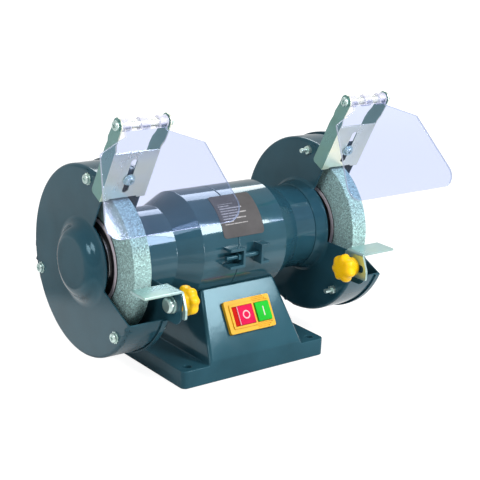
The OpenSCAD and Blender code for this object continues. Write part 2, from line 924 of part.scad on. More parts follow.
module toothed_washer() {
  difference() {
    union() {
      cylinder(r = cover_head_r + 0.5, h = washer_t);
      for (a = [0 : 36 : 324])
        rotate([0, 0, a]) translate([cover_head_r - 0.5, -0.6, 0]) cube([1.6, 1.2, washer_t]);
    }
    translate([0, 0, -1]) cylinder(r = cover_screw / 2 + 0.1, h = 4);
  }
}

module cover_washers() {
  color(zinc)
    for (a = cover_angles) {
      around_spindle(cover_r, a) face_in(-guard_far) toothed_washer();
      around_spindle(cover_r, a) face_out(guard_far) toothed_washer();
    }
}

module cover_nuts() {
  color(zinc)
    for (a = cover_angles) {
      around_spindle(cover_r, a) face_out(-guard_near) hex_nut(nut_r, cover_screw / 2 + 0.02, nut_h);
      around_spindle(cover_r, a) face_in(guard_near) hex_nut(nut_r, cover_screw / 2 + 0.02, nut_h);
    }
}

module guard_fixing_screws() {
  color(zinc)
    for (a = fixing_angles) {
      around_spindle(fixing_circle_r, a) face_in(-guard_near - sheet) pan_screw(1.6, 7, 3.2, 2);
      around_spindle(fixing_circle_r, a) face_out(right_end + sheet) pan_screw(1.6, 7, 3.2, 2);
    }
}

// Tool rests ----------------------------------------------------------------

// Right-hand layout; the left set is its mirror image.
module both_hands(left) {
  mirror([left ? 1 : 0, 0, 0]) children();
}

// Section through the plate, the bend and the flange's top, in (x, z).
module rest_section() {
  bend_x = rest_face + rest_bend;
  bend_z = rest_height - rest_sheet - rest_bend;
  translate([bend_x, rest_height - rest_sheet]) square([rest_reach - rest_sheet - rest_bend, rest_sheet]);
  translate([rest_face - rest_sheet, bend_z - 1]) square([rest_sheet, 1]);
  translate([bend_x, bend_z]) intersection() {
    difference() {
      circle(r = rest_bend + rest_sheet);
      circle(r = rest_bend);
    }
    translate([-far, 0]) square([far, far]);
  }
}

module tool_rest(left) {
  flange_top = rest_height - rest_sheet - rest_bend;
  color(zinc)
    both_hands(left) {
      difference() {
        side_plate(rest_face - rest_sheet, rest_face)
          rounded_outline([[rest_flange_front, rest_flange_low], [rest_flange_back, rest_flange_low],
            [rest_flange_back, flange_top], [rest_front, flange_top], [rest_flange_front, rest_height - 14]],
            [2, 2, 0, 0, 4]);
        side_plate(rest_face - rest_sheet - 1, rest_face + 1)
          long_hole([rest_slot[0], clamp_bolt_z], [rest_slot[1], clamp_bolt_z], rest_slot_r);
      }
      translate([0, rest_back, 0]) rotate([90, 0, 0]) linear_extrude(rest_depth) rest_section();
    }
}

module tool_rest_left() {
  tool_rest(true);
}

module tool_rest_right() {
  tool_rest(false);
}

module rest_bolts() {
  head_h = 4.6;
  head_r = 6.5;
  color(zinc)
    for (side = [true, false]) both_hands(side) at_yz(clamp_bolt_y, clamp_bolt_z) {
      rod(clamp_bolt_r, guard_near - seat_gap * 2 - rest_sheet - boss_h - 8, guard_near + sheet + 1.5 + 1);
      face_out(guard_near + sheet + 1.5)
        rotate_extrude() rounded_outline(box_points(0, head_r, 0, head_h), [0, 0, head_h * 0.5, 0]);
    }
}

module rest_washers() {
  color(zinc)
    for (side = [true, false]) both_hands(side) at_yz(clamp_bolt_y, clamp_bolt_z)
      face_out(guard_near + sheet) ring(7.2, clamp_bolt_r + 0.1, 1.5);
}

module knob_outline() {
  lobe_r = knob_r * 0.27;
  valley_r = knob_r * 0.20;
  difference() {
    union() {
      circle(r = knob_r * 0.80);
      for (i = [0 : knob_lobes - 1])
        rotate(i * 360 / knob_lobes) translate([knob_r - lobe_r, 0]) circle(r = lobe_r);
    }
    for (i = [0 : knob_lobes - 1])
      rotate((i + 0.5) * 360 / knob_lobes) translate([knob_r * 0.92, 0]) circle(r = valley_r);
  }
}

module rest_knob(left) {
  boss_face = rest_face - rest_sheet - seat_gap;
  color(yellow)
    both_hands(left) at_yz(clamp_bolt_y, clamp_bolt_z) face_in(boss_face) difference() {
      union() {
        cylinder(r = boss_r, h = boss_h + 1);
        intersection() {
          translate([0, 0, boss_h]) linear_extrude(knob_h) knob_outline();
          translate([0, 0, boss_h]) rotate_extrude()
            polygon([[0, 0], [knob_r - 2, 0], [knob_r, 2], [knob_r, knob_h - 3],
              [knob_r - 3, knob_h], [0, knob_h]]);
        }
      }
      translate([0, 0, -1]) cylinder(r = clamp_bolt_r + 0.05, h = boss_h + 10);
      translate([0, 0, boss_h + knob_h - 1.2]) cylinder(r = knob_r * 0.34, h = 3);
    }
}

module rest_knob_left() {
  rest_knob(true);
}

module rest_knob_right() {
  rest_knob(false);
}

// Eye shields -----------------------------------------------------------------

// Plate in front of the cut, flanges beside the guard, arms up to the hinge.
module shield_bracket(x) {
  front = -seat_gap - bracket_sheet;
  step_half = 12;
  color(zinc)
    in_cut_frame() translate([x, 0, 0]) {
      difference() {
        translate([0, -seat_gap, 0]) rotate([90, 0, 0]) linear_extrude(bracket_sheet) difference() {
          rounded_outline(box_points(-bracket_half, bracket_half, plate_start, plate_end), [2, 2, 0, 0]);
          polygon([[-step_half - 1.5, plate_start - 1], [step_half + 1.5, plate_start - 1],
            [step_half, plate_start + 1.5], [-step_half, plate_start + 1.5]]);
          long_hole([0, slot_start], [0, slot_end - slot_w / 2], slot_w / 2);
        }
      }
      for (side = [0, 1]) mirror([side, 0, 0]) intersection() {
        side_plate(0, far / 2) difference() {
          union() {
            rounded_outline([[front, plate_start], [flange_depth, plate_start], [flange_depth, plate_end - arm_waist],
              [hinge_set + hinge_end_r, hinge_radius - arm_foot], [hinge_set + hinge_end_r, hinge_radius],
              [hinge_set - hinge_end_r, hinge_radius], [front, plate_end]], [0, 3, 0, 0, 0, 0, 0]);
            translate([hinge_set, hinge_radius]) circle(r = hinge_end_r);
          }
          translate([hinge_set, hinge_radius]) circle(r = pin_r + 0.1);
        }
        translate([0, far / 2, 0]) rotate([90, 0, 0]) linear_extrude(far) splayed_strip();
      }
    }
}

// Edge of a flange and its arm seen from the front: the arm steps outwards above the plate.
module splayed_strip() {
  bend = [[bracket_half, 0], [bracket_half, splay_low], [arm_half, splay_high], [arm_half, far / 2]];
  polygon(concat(bend, [for (i = [3 : -1 : 0]) bend[i] - [bracket_sheet, 0]]));
}

module shield_bracket_left() {
  shield_bracket(-wheel_x);
}

module shield_bracket_right() {
  shield_bracket(wheel_x);
}

module bracket_screws() {
  color(zinc)
    for (x = [-wheel_x, wheel_x])
      in_cut_frame() translate([x, -seat_gap * 2 - bracket_sheet, bracket_screw_s]) rotate([90, 0, 0]) {
        ring(5.2, bracket_screw_r - 0.2, 0.9);
        translate([0, 0, 0.8]) pan_screw(bracket_screw_r, sheet + bracket_sheet + nut_h + 3.6, 3.9, 2.7);
      }
}

module bracket_nuts() {
  color(zinc)
    for (x = [-wheel_x, wheel_x])
      in_cut_frame() translate([x, sheet, bracket_screw_s]) rotate([-90, 0, 0])
        hex_nut(nut_r, bracket_screw_r + 0.02, nut_h);
}

module at_hinge(x) {
  in_cut_frame() translate([x, hinge_set, hinge_radius]) children();
}

module hinge_bolt(x) {
  color(zinc)
    at_hinge(x) face_in(-arm_half) pan_screw(pin_r, arm_half * 2 + nut_h + 1.6, 4, 3);
}

module hinge_bolt_left() {
  hinge_bolt(-wheel_x);
}

module hinge_bolt_right() {
  hinge_bolt(wheel_x);
}

module hinge_nut(x) {
  color(zinc)
    at_hinge(x) face_out(arm_half) hex_nut(nut_r, pin_r + 0.02, nut_h);
}

module hinge_nut_left() {
  hinge_nut(-wheel_x);
}

module hinge_nut_right() {
  hinge_nut(wheel_x);
}

module hinge_tube(x) {
  half = arm_half - bracket_sheet;
  color(steel)
    at_hinge(x) face_out(-half) ring(tube_r, pin_r + 0.15, half * 2);
}

module hinge_tube_left() {
  hinge_tube(-wheel_x);
}

module hinge_tube_right() {
  hinge_tube(wheel_x);
}

function hinge_y() = hinge_set * cos(cut_lean) - hinge_radius * sin(cut_lean);
function hinge_z() = shaft_height + hinge_set * sin(cut_lean) + hinge_radius * cos(cut_lean);

module shield_outline() {
  neck = bracket_half - bracket_sheet - 0.8;
  rounded_outline([[shield_inner, shield_shoulder], shield_notch, [-neck, neck_low], [neck, neck_high],
    [shield_slope, shield_shoulder], [shield_outer, -shield_drop], [shield_inner, -shield_drop]],
    [1.5, 0, 0, 0, 3, 11, 14]);
  translate([-neck, -12]) square([neck * 2, 12 - knuckle_r * 0.2]);
}

module eye_shield(x, lean) {
  half = arm_half - bracket_sheet - 0.4;
  color(clear)
    translate([x, hinge_y(), hinge_z()]) rotate([-lean, 0, 0]) difference() {
      union() {
        translate([0, -knuckle_r + shield_sheet, 0]) rotate([90, 0, 0])
          linear_extrude(shield_sheet) shield_outline();
        for (k = [-half, -knuckle_w / 2, half - knuckle_w]) rod(knuckle_r, k, k + knuckle_w);
      }
      rod(tube_r + knuckle_gap, -half - 1, half + 1);
      for (k = [-half + knuckle_w, knuckle_w / 2])
        translate([k, -knuckle_r + shield_sheet - 3, -tube_r - 0.8])
          cube([half - knuckle_w * 1.5, 6, knuckle_r * 2]);
    }
}

module eye_shield_left() {
  eye_shield(-wheel_x, left_lean);
}

module eye_shield_right() {
  eye_shield(wheel_x, right_lean);
}

// Label and switch --------------------------------------------------------------

module rating_label() {
  color(label_grey)
    intersection() {
      difference() {
        on_spindle() rod(barrel_r + label_t, -far / 4, far / 4);
        on_spindle() rod(barrel_r, -far / 2, far / 2);
      }
      on_spindle() rotate([label_angle, 0, 0]) translate([-1, 0, 0]) linear_extrude(far / 4)
        rounded_box(-label_half_x, label_half_x, -label_half_y, label_half_y, 3);
    }
}

module on_bezel() {
  on_front() translate([bezel_offset, 0, 0]) children();
}

module switch_bezel() {
  half_w = bezel_width / 2;
  half_h = bezel_height / 2;
  window_half = button_h / 2 + button_gap;
  color(yellow)
    on_bezel() difference() {
      union() {
        linear_extrude(bezel_t) rounded_box(-half_w, half_w, -half_h, half_h, 1.8);
        linear_extrude(bezel_t + 1) difference() {
          rounded_box(stop_x[0] - 2.6, start_x[1] + 2, -window_half - 2, window_half + 2, 1.2);
          translate([stop_x[1] + 1.7, -window_half - 3]) square([far, window_half * 2 + 6]);
        }
      }
      translate([0, 0, -1]) linear_extrude(bezel_t + 4) {
        translate([stop_x[0] - button_gap, -window_half])
          square([stop_x[1] - stop_x[0] + button_gap * 2, window_half * 2]);
        translate([start_x[0] - button_gap, -window_half])
          square([start_x[1] - start_x[0] + button_gap * 2, window_half * 2]);
      }
      for (side = [-1, 1], i = [0 : 2])
        translate([stop_x[1] + 1.7, side * (window_half + 1.4 + i * 1.5) - 0.4, bezel_t - 0.8])
          cube([16 - i * 2, 0.8, 2]);
    }
}

module button_block(x0, x1) {
  translate([0, 0, -button_sunk]) linear_extrude(button_top + button_sunk)
    rounded_box(x0, x1, -button_h / 2, button_h / 2, 0.8);
  translate([(x0 + x1 - stem) / 2, -stem / 2, -stem_end]) cube([stem, stem, stem_end - button_sunk + 1]);
}

module stop_button() {
  strip = 4.4;
  color(red)
    on_bezel() difference() {
      union() {
        button_block(stop_x[0], stop_x[1]);
        translate([(stop_x[0] + strip + stop_x[1]) / 2, 0, button_top - 0.2]) ring(3.6, 2.7, 0.5);
      }
      translate([stop_x[0] - 1, -button_h, button_top - 0.9]) cube([strip + 1, button_h * 2, 3]);
    }
}

module start_button() {
  middle = (start_x[0] + start_x[1]) / 2;
  color(green)
    on_bezel() {
      button_block(start_x[0], start_x[1]);
      translate([middle - 0.5, -4, button_top - 0.2]) cube([1, 8, 0.5]);
    }
}

module switch_body() {
  deck = -button_sunk - press - stem_gap;
  hole = stem + stem_gap * 2;
  color(black)
    on_bezel() translate([switch_mid, 0, 0]) difference() {
      union() {
        translate([-switch_w / 2, -switch_h / 2, -switch_depth]) cube([switch_w, switch_h, switch_depth + deck]);
        for (side = [0, 1]) mirror([0, side, 0])
          translate([-switch_w / 2, button_h / 2 + button_gap, deck - 1])
            cube([switch_w, (switch_h - button_h) / 2 - button_gap, 1 - deck]);
        for (x = [-15, -5, 5, 15]) translate([x - 0.4, -3, -switch_depth - 6]) cube([0.8, 6, 7]);
      }
      for (pair = [stop_x, start_x])
        translate([(pair[0] + pair[1] - hole) / 2 - switch_mid, -hole / 2, -stem_end - press - stem_gap])
          cube([hole, hole, stem_end]);
    }
}

// Inside the pedestal -------------------------------------------------------------

module capacitor() {
  color([0.85, 0.85, 0.86])
    at_yz(cap_y, cap_z) {
      translate([-cap_half, 0, 0]) rotate([0, 90, 0]) rotate_extrude()
        rounded_outline(box_points(0, cap_r, 0, cap_half * 2), [0, 2, 2, 0]);
      for (y = [-4, 4]) translate([cap_half - 1, y - 3, -0.4]) cube([8, 6, 0.8]);
    }
}

module capacitor_clip() {
  color(zinc)
    difference() {
      union() {
        at_yz(cap_y, cap_z) rod(cap_r + 1.2, -6, 6);
        translate([-6, cap_y - cap_r - 9, plate_low + plate_t]) cube([12, cap_r + 9, 1.2]);
      }
      at_yz(cap_y, cap_z) rod(cap_r + 0.1, -8, 8);
      translate([-8, cap_y - 40, plate_low - 5 + plate_t]) cube([16, 80, 5]);
      translate([0, cap_y - cap_r - 5, 0]) cylinder(r = 1.8, h = 20);
    }
}

module terminal_block() {
  color([0.93, 0.92, 0.88])
    translate([-20, block_y, plate_low + plate_t]) difference() {
      union() {
        cube([40, 18, 6]);
        for (i = [0 : 3]) translate([1.5 + i * terminal_pitch, 2, 0]) cube([8, 14, 12]);
      }
      for (i = [0 : 3]) {
        translate([5.5 + i * terminal_pitch, -1, 7.5]) rotate([-90, 0, 0]) cylinder(r = 1.8, h = 20);
        for (y = [5, 13]) translate([5.5 + i * terminal_pitch, y, 7]) cylinder(r = 1.6, h = 8);
      }
    }
}

module cable_gland() {
  color(black)
    on_back() difference() {
      union() {
        cylinder(r = 9, h = 3);
        intersection() {
          cylinder(r = 8.2, h = 9, $fn = 6);
          rotate_extrude() rounded_outline(box_points(0, 8.2, 0, 9), [0, 0, 1.6, 0]);
        }
        translate([0, 0, -11]) cylinder(r = gland_r, h = 12);
      }
      translate([0, 0, -12]) cylinder(r = 3.6, h = 24);
    }
}

module gland_nut() {
  color(black)
    on_back() translate([0, 0, -stand_wall * cos(face_angle) - 4.2]) hex_nut(9, gland_r + 0.03, 4);
}

stand();
bottom_plate();
bottom_plate_screws();
rubber_feet();
motor_shell_left();
motor_shell_right();
shell_clamp_screws();
shell_clamp_nuts();
motor_mount_screws();
stator_core();
stator_windings();
rotor_core();
shaft();
bearing_left();
bearing_right();
wave_washer();
inner_flanges();
outer_flanges();
wheel_blotters();
wheel_left();
wheel_right();
spindle_nuts();
guard_drum_left();
guard_lid_left();
guard_drum_right();
guard_lid_right();
cover_screws();
cover_washers();
cover_nuts();
guard_fixing_screws();
rest_bolts();
rest_washers();
tool_rest_left();
tool_rest_right();
rest_knob_left();
rest_knob_right();
shield_bracket_left();
shield_bracket_right();
bracket_screws();
bracket_nuts();
hinge_bolt_left();
hinge_bolt_right();
hinge_nut_left();
hinge_nut_right();
hinge_tube_left();
hinge_tube_right();
eye_shield_left();
eye_shield_right();
rating_label();
switch_bezel();
switch_body();
stop_button();
start_button();
capacitor();
capacitor_clip();
terminal_block();
cable_gland();
gland_nut();
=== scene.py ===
"""Finishes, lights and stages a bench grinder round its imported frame.

Run it as a script. Lengths are in metres.
"""
import json
import math

import bmesh
import bpy
from bpy.props import FloatProperty, FloatVectorProperty, IntProperty, PointerProperty
from mathutils import Matrix, Quaternion, Vector

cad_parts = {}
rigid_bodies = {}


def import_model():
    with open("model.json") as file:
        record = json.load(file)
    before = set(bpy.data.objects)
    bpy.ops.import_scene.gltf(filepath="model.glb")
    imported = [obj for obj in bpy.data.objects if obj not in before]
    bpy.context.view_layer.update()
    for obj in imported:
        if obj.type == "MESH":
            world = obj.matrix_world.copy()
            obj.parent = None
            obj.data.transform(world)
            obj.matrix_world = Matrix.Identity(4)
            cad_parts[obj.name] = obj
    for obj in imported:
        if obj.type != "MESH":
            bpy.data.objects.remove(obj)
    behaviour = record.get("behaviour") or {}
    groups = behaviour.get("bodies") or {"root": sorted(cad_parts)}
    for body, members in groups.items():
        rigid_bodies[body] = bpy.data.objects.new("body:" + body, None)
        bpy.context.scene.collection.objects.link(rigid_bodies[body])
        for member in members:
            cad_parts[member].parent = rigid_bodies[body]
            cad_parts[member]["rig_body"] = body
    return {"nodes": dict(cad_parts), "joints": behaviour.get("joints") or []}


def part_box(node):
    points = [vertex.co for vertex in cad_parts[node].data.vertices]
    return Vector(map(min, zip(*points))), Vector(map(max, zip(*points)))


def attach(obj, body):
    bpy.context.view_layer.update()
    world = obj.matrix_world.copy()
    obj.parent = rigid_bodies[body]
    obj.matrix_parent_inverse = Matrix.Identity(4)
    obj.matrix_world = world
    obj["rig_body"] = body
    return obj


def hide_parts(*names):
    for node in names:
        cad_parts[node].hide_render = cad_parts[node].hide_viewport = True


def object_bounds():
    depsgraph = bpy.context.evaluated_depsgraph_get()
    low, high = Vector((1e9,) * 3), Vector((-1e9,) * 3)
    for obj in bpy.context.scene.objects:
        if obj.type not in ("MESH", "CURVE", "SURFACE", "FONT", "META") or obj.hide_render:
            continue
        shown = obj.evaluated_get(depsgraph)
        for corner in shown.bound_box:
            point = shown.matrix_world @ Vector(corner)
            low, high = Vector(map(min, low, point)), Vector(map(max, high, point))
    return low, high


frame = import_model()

bl_info = {
    "name": "Bench Grinder Finisher",
    "version": (1, 0, 0),
    "blender": (4, 5, 0),
    "location": "3D View > Sidebar > Grinder",
    "description": "Softens, paints and lights a bench grinder round its fixed frame",
    "category": "Object",
}

CAD_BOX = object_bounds()
BOX = {node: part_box(node) for node in frame["nodes"]}
SPINDLE_HEIGHT = frame["joints"][0]["pos_m"][2]
MM = 0.001

# Mesh: how near corners weld, and in degrees, what counts as flat and the least angle that gets rounded.
WELD = 0.001 * MM
FLAT_ANGLE = 0.2
CREASE = 35
CAST_CREASE = 19
KNOB_CREASE = 50

# Finding faces: how far a normal points along a direction, and how thick a topmost face may be.
TOWARDS = 0.9
TOP_SKIN = 0.05 * MM

# Enamel and zinc. A bracket's face is on an arm where its normal points at least this far sideways; those
# faces take a darker copy of the zinc, painted shade, and the rest a brighter copy, painted light.
GLOSS_TINT = (0.56, 0.87, 1.0, 1.0)
SLEEVE_TONE = (0.82, 0.86, 0.86)
SHADED_ARM_SHARE = 0.9

# Clear shields: faces that count as flat, and the reach of the knuckles round the hinge bolt. Faces that
# aren't flat are the cut edges and take a brighter lilac copy of the sheet, a painted highlight.
FLAT_SHARE = 0.95
KNUCKLE_REACH = 7.5 * MM
KNUCKLE_TONE = (0.84, 0.84, 0.99)
KNUCKLE_TINT = (0.97, 0.975, 1.0)

# Clamp knobs: heights and radii from foot to face, and the valleys between the lobes.
KNOB_PROFILE = [(height * MM, radius * MM) for height, radius in (
    (0, 7.6), (0.5, 8.1), (5.4, 8.4), (6.6, 8.9), (7.0, 10.6), (7.6, 11.9), (8.8, 12.45), (10.6, 12.5),
    (12.4, 12.3), (13.9, 11.7), (15.1, 10.6), (16.0, 8.8), (16.6, 6.4), (16.9, 3.6), (17.0, 0.8))]
LOBE_STEPS = 12
LOBE_DEPTH = 0.14
LOBE_START = 6.8 * MM

# Label: the rows and the band they fill are angles round the barrel, in radians.
LABEL_ROW = 0.052
LABEL_BAND = (0.60, 1.02)
LABEL_LEFT = -17 * MM
LABEL_SPAN = 26 * MM
LABEL_INK = (0.70, 0.68, 0.68)
LABEL_INK_SHARE = 0.62

# Buttons: the ring's radii, the bar's half sizes, and the darker strip at the stop button's left.
RING = (2.55 * MM, 3.75 * MM)
BAR_HALF = (0.62 * MM, 4.1 * MM)
MARK_SKIN = 0.32 * MM
MARK_SHARE = 0.75
STRIP_TONE = (0.52, 0.008, 0.004)
STRIP_EDGE = 4.4 * MM
STRIP_LINE = 0.55 * MM

# Wheels' paper discs, whose near-black field and thin dark edge line are painted shade, and the motor's
# stacked sheets and wire.
BLOTTER_RIM = 4.5 * MM
BLOTTER_SOFT = 0.86
BLOTTER_SHADE_LINE = 0.6 * MM
SHEET_PITCH = 0.5 * MM
WIRE_PITCH = 0.6 * MM

# Base colours of the hidden pieces, in linear RGB.
HIDDEN_TONES = {
    "switch_body": (0.02, 0.02, 0.022),
    "stator_windings": (0.55, 0.16, 0.035),
    "capacitor": (0.72, 0.71, 0.66),
    "terminal_block": (0.70, 0.70, 0.68),
    "gland_nut": (0.016, 0.016, 0.017),
    "cable_gland": (0.018, 0.018, 0.019),
    "rubber_feet": (0.02, 0.02, 0.02),
}

# View: the camera's direction and roll, its shift across the view, its distance, and its lens and sensor
# in millimetres.
VIEW_AZIMUTH = math.radians(-37.777)
VIEW_HEIGHT = math.radians(17.067)
VIEW_ROLL = math.radians(2.646)
VIEW_SHIFT = (26.992 * MM, 94.917 * MM)
VIEW_DISTANCE = 1097.943 * MM
VIEW_LENS = 92.584
VIEW_SENSOR = 36
VIEW_CLIP = (0.01, 60)

# Floor: how much of its glow the eye and glossy paint see: near by, in a pool, and far away. The pool and
# the far ring are brighter only for glossy rays: a painted reflection on the paint.
FLOOR_RADIUS = 8.0
FLOOR_TONES = ((0.66, 0.66, 0.66), (0.7, 0.7, 0.7))
FLOOR_GLOW = 1.45
FLOOR_GLOW_SHARE = 0.62
FLOOR_FAR = (0.7, 2.0)
FLOOR_MIRROR_SHARE = 0.03
POOL_IN = (120 * MM, 180 * MM)
POOL_OUT = (250 * MM, 300 * MM)
POOL_SHARE = 0.8
POOL_FAR = (500 * MM, 620 * MM)
POOL_FAR_SHARE = 0.3
WORLD_MIRROR_SHARE = 0.5

# Softboxes, round the point they face: azimuth, height, distance, the box's width and height, its lean.
LAMP_AIM = Vector((0, -20 * MM, 115 * MM))
SOFTBOXES = {
    "front": (-54.0, 37.0, 1.3, 0.36, 0.50, 0.0),
    "left": (-104.0, 50.0, 1.4, 0.60, 0.40, 0.0),
    "back": (54.0, 42.0, 1.6, 0.80, 0.50, 0.0),
    "side": (-164.0, 32.0, 1.5, 0.50, 0.50, 0.0),
    "strip": (-71.8, 2.8, 0.97, 0.07, 0.34, 20.0),
}


def colour(name, text, value):
    """A linear RGB colour that shows in the panel."""
    return FloatVectorProperty(name=name, description=text, default=value, size=3, min=0, max=1,
        subtype="COLOR")


def length(name, text, value):
    """A length in metres that shows in the panel."""
    return FloatProperty(name=name, description=text, default=value, min=0, unit="LENGTH", precision=5)


def power(name, text, value):
    """A lamp's power in watts that shows in the panel."""
    return FloatProperty(name=name, description=text, default=value, min=0, unit="POWER")


class GrinderSizes(bpy.types.PropertyGroup):
    """Edge radii and small forms that the frame leaves to this file."""

    cast_edge: length("Cast edge", "Rounding on the cast stand", 0.9 * MM)
    shell_edge: length("Shell edge", "Rounding on the two halves of the motor shell", 0.4 * MM)
    sheet_edge: length("Sheet edge", "Rounding on the pressed guards", 0.3 * MM)
    plate_edge: length("Plate edge", "Rounding on zinc brackets and rests", 0.3 * MM)
    hardware_edge: length("Hardware edge", "Rounding on screws, nuts and washers", 0.2 * MM)
    bezel_edge: length("Bezel edge", "Rounding on the switch bezel and its ribs", 0.15 * MM)
    button_edge: length("Button edge", "Rounding on the buttons and their raised symbols", 0.12 * MM)
    shield_edge: length("Shield edge", "Rounding on the clear shields", 0.5 * MM)
    knob_lobes: IntProperty(name="Knob lobes", description="Lobes round each clamp knob", default=7,
        min=5, max=9)


class GrinderColours(bpy.types.PropertyGroup):
    """Base colours of the finishes, in linear RGB."""

    paint: colour("Paint", "Blue-grey gloss enamel", (0.021, 0.078, 0.108))
    zinc: colour("Zinc", "Passivated zinc plate of the screws and nuts", (0.58, 0.74, 0.71))
    rest_zinc: colour("Rest zinc", "Greener zinc plate of the work rests", (0.44, 0.63, 0.62))
    # The brackets' zinc has a lit and a shaded copy: the fronts brighter, painted light; the arms darker
    # and greener, painted shade.
    bracket_zinc: colour("Bracket zinc", "Bright zinc on the brackets' fronts", (0.90, 0.94, 0.80))
    arm_zinc: colour("Arm zinc", "Dull green zinc on the brackets' arms", (0.19, 0.36, 0.34))
    steel: colour("Steel", "Bright ground steel", (0.56, 0.57, 0.58))
    grit: colour("Grit", "Grey abrasive of the wheels", (0.35, 0.535, 0.525))
    knob: colour("Knob", "Yellow moulding of the clamp knobs", (1.0, 0.57, 0.003))
    bezel: colour("Bezel", "Yellow moulding round the switch", (0.78, 0.43, 0.014))
    stop: colour("Stop", "Red stop button", (0.68, 0.010, 0.075))
    start: colour("Start", "Green start button", (0.020, 0.50, 0.035))
    mark: colour("Mark", "Pale symbols on the buttons", (0.90, 0.72, 0.74))
    shield: colour("Shield", "Lilac cast of the clear shields", (0.80, 0.86, 1.0))
    shield_tint: colour("Shield tint", "What one face of a shield lets through", (0.825, 0.858, 0.965))
    # The shields' edge colour is a brighter copy of the sheet: a painted highlight on the cut edges.
    shield_edge: colour("Shield edge", "Brighter lilac of the shields' cut edges", (0.74, 0.82, 1.0))
    blotter: colour("Blotter", "Pale paper rings on the wheels' flanks", (0.95, 0.88, 0.95))
    label: colour("Label", "Grey ground of the label", (0.096, 0.092, 0.094))


class GrinderStage(bpy.types.PropertyGroup):
    """Levels of the lamps and the backdrop."""

    world_level: FloatProperty(name="World", description="Strength of the soft light from all round",
        default=0.32, min=0)
    front_power: power("Front lamp", "Power of the softbox before the machine's right half", 11.0)
    left_power: power("Left lamp", "Power of the softbox before the machine's left half", 5.0)
    back_power: power("Back lamp", "Power of the softbox behind the machine", 8.0)
    side_power: power("Side lamp", "Power of the softbox beside the left wheel", 6.5)
    strip_power: power("Strip lamp", "Power of the low lamp that glances off the left shield", 2.3)


# Shader expressions ---------------------------------------------------------------


class Signal:
    """A socket of a material's node that can be written in plain sums."""

    def __init__(self, shader, socket):
        self.shader = shader
        self.socket = socket

    def math(self, kind, *terms):
        """A sum of this kind on the terms, or on this value alone where there are none."""
        return self.shader.node("ShaderNodeMath", {"operation": kind}, dict(enumerate(terms or (self,))))

    def __add__(self, other):
        return self.math("ADD", self, other)

    def __sub__(self, other):
        return self.math("SUBTRACT", self, other)

    def __mul__(self, other):
        return self.math("MULTIPLY", self, other)

    def __rsub__(self, other):
        return self.math("SUBTRACT", other, self)

    def __lt__(self, other):
        return self.math("LESS_THAN", self, other)

    def __gt__(self, other):
        return self.math("GREATER_THAN", self, other)

    __radd__ = __add__
    __rmul__ = __mul__

    def radius(self, other):
        """The distance from an axis, from the two coordinates across it."""
        return (self * self + other * other).math("SQRT")

    def between(self, low, high):
        """1 where the value lies between low and high."""
        return (self > low) * (self < high)

    def ease(self, low, high):
        """Rises smoothly from 0 at low to 1 at high."""
        return self.shader.node("ShaderNodeMapRange", {"interpolation_type": "SMOOTHSTEP", "clamp": True},
            {"Value": self, "From Min": low, "From Max": high})


class Shader:
    """A material, or the world, whose nodes are added one expression at a time."""

    def __init__(self, name, kind="Material"):
        self.kind = kind
        self.holder = (bpy.data.worlds if kind == "World" else bpy.data.materials).new(name)
        self.holder.use_nodes = True
        self.tree = self.holder.node_tree
        self.tree.nodes.clear()

    def node(self, kind, settings=None, sockets=None, out=0):
        """Adds a node of a type, sets its settings and then its sockets, and returns one output."""
        made = self.tree.nodes.new(kind)
        for key, value in (settings or {}).items():
            if key == "stops":
                ramp = made.color_ramp
                while len(ramp.elements) < len(value):
                    ramp.elements.new(0.5)
                for stop, (place, tone) in zip(ramp.elements, value):
                    stop.position = place
                    stop.color = tone
            else:
                setattr(made, key, value)
        for key, value in (sockets or {}).items():
            if isinstance(value, Signal):
                self.tree.links.new(value.socket, made.inputs[key])
            else:
                made.inputs[key].default_value = value
        return None if out is None else Signal(self, made.outputs[out])

    def place(self, stretch=(1, 1, 1), centre=(0, 0, 0), turn=(0, 0, 0)):
        """Object coordinates, measured from a centre, turned, and stretched."""
        spot = self.node("ShaderNodeTexCoord", out="Object")
        moved = self.node("ShaderNodeVectorMath", {"operation": "SUBTRACT"}, {0: spot, 1: centre})
        turned = self.node("ShaderNodeMapping", {}, {"Vector": moved, "Rotation": turn})
        return self.node("ShaderNodeVectorMath", {"operation": "MULTIPLY"}, {0: turned, 1: stretch})

    def axes(self, spot):
        """The three numbers of a vector."""
        split = self.node("ShaderNodeSeparateXYZ", {}, {0: spot})
        return [Signal(self, output) for output in split.socket.node.outputs]

    def noise(self, spot, scale, detail):
        """Cloudy noise, at a scale in waves a metre."""
        return self.node("ShaderNodeTexNoise", {}, {"Vector": spot, "Scale": scale, "Detail": detail})

    def cells(self, spot, scale, out="Distance"):
        """Grains, at a scale in grains a metre: the distance to the nearest, or a colour for each."""
        return self.node("ShaderNodeTexVoronoi", {}, {"Vector": spot, "Scale": scale}, out)

    def blend(self, share, low, high):
        """A colour between two others, each a link or three or four numbers."""
        low, high = ((*tone, 1) if isinstance(tone, tuple) and len(tone) == 3 else tone
            for tone in (low, high))
        return self.node("ShaderNodeMix", {"data_type": "RGBA"}, {0: share, 6: low, 7: high}, 2)

    def bump(self, height, depth, strength=1.0):
        """A normal dented by a height; depth is the metres that 1 stands for."""
        return self.node("ShaderNodeBump", {}, {"Height": height, "Distance": depth, "Strength": strength})

    def show(self, surface):
        """Makes a shader the surface and returns the material or the world."""
        self.node("ShaderNodeOutput" + self.kind, {}, {"Surface": surface}, None)
        return self.holder

    def background(self):
        """Whether a ray comes from the eye, off a glossy surface or through a clear one, each 0 or 1."""
        path = self.node("ShaderNodeLightPath", out="Is Camera Ray")
        outputs = path.socket.node.outputs
        return path, Signal(self, outputs["Is Glossy Ray"]), Signal(self, outputs["Is Transmission Ray"])

    def finish(self, **sockets):
        """Shows a Principled surface, its sockets named with _ for a space, and returns the material."""
        return self.show(self.node("ShaderNodeBsdfPrincipled", {}, {
            key.replace("_", " "): value for key, value in sockets.items()}, "BSDF"))


def rgba(tone, level=1.0):
    """A colour property as four numbers, at a level of its own brightness."""
    return (*(channel * level for channel in tone), 1.0)


# Finishes -------------------------------------------------------------------------


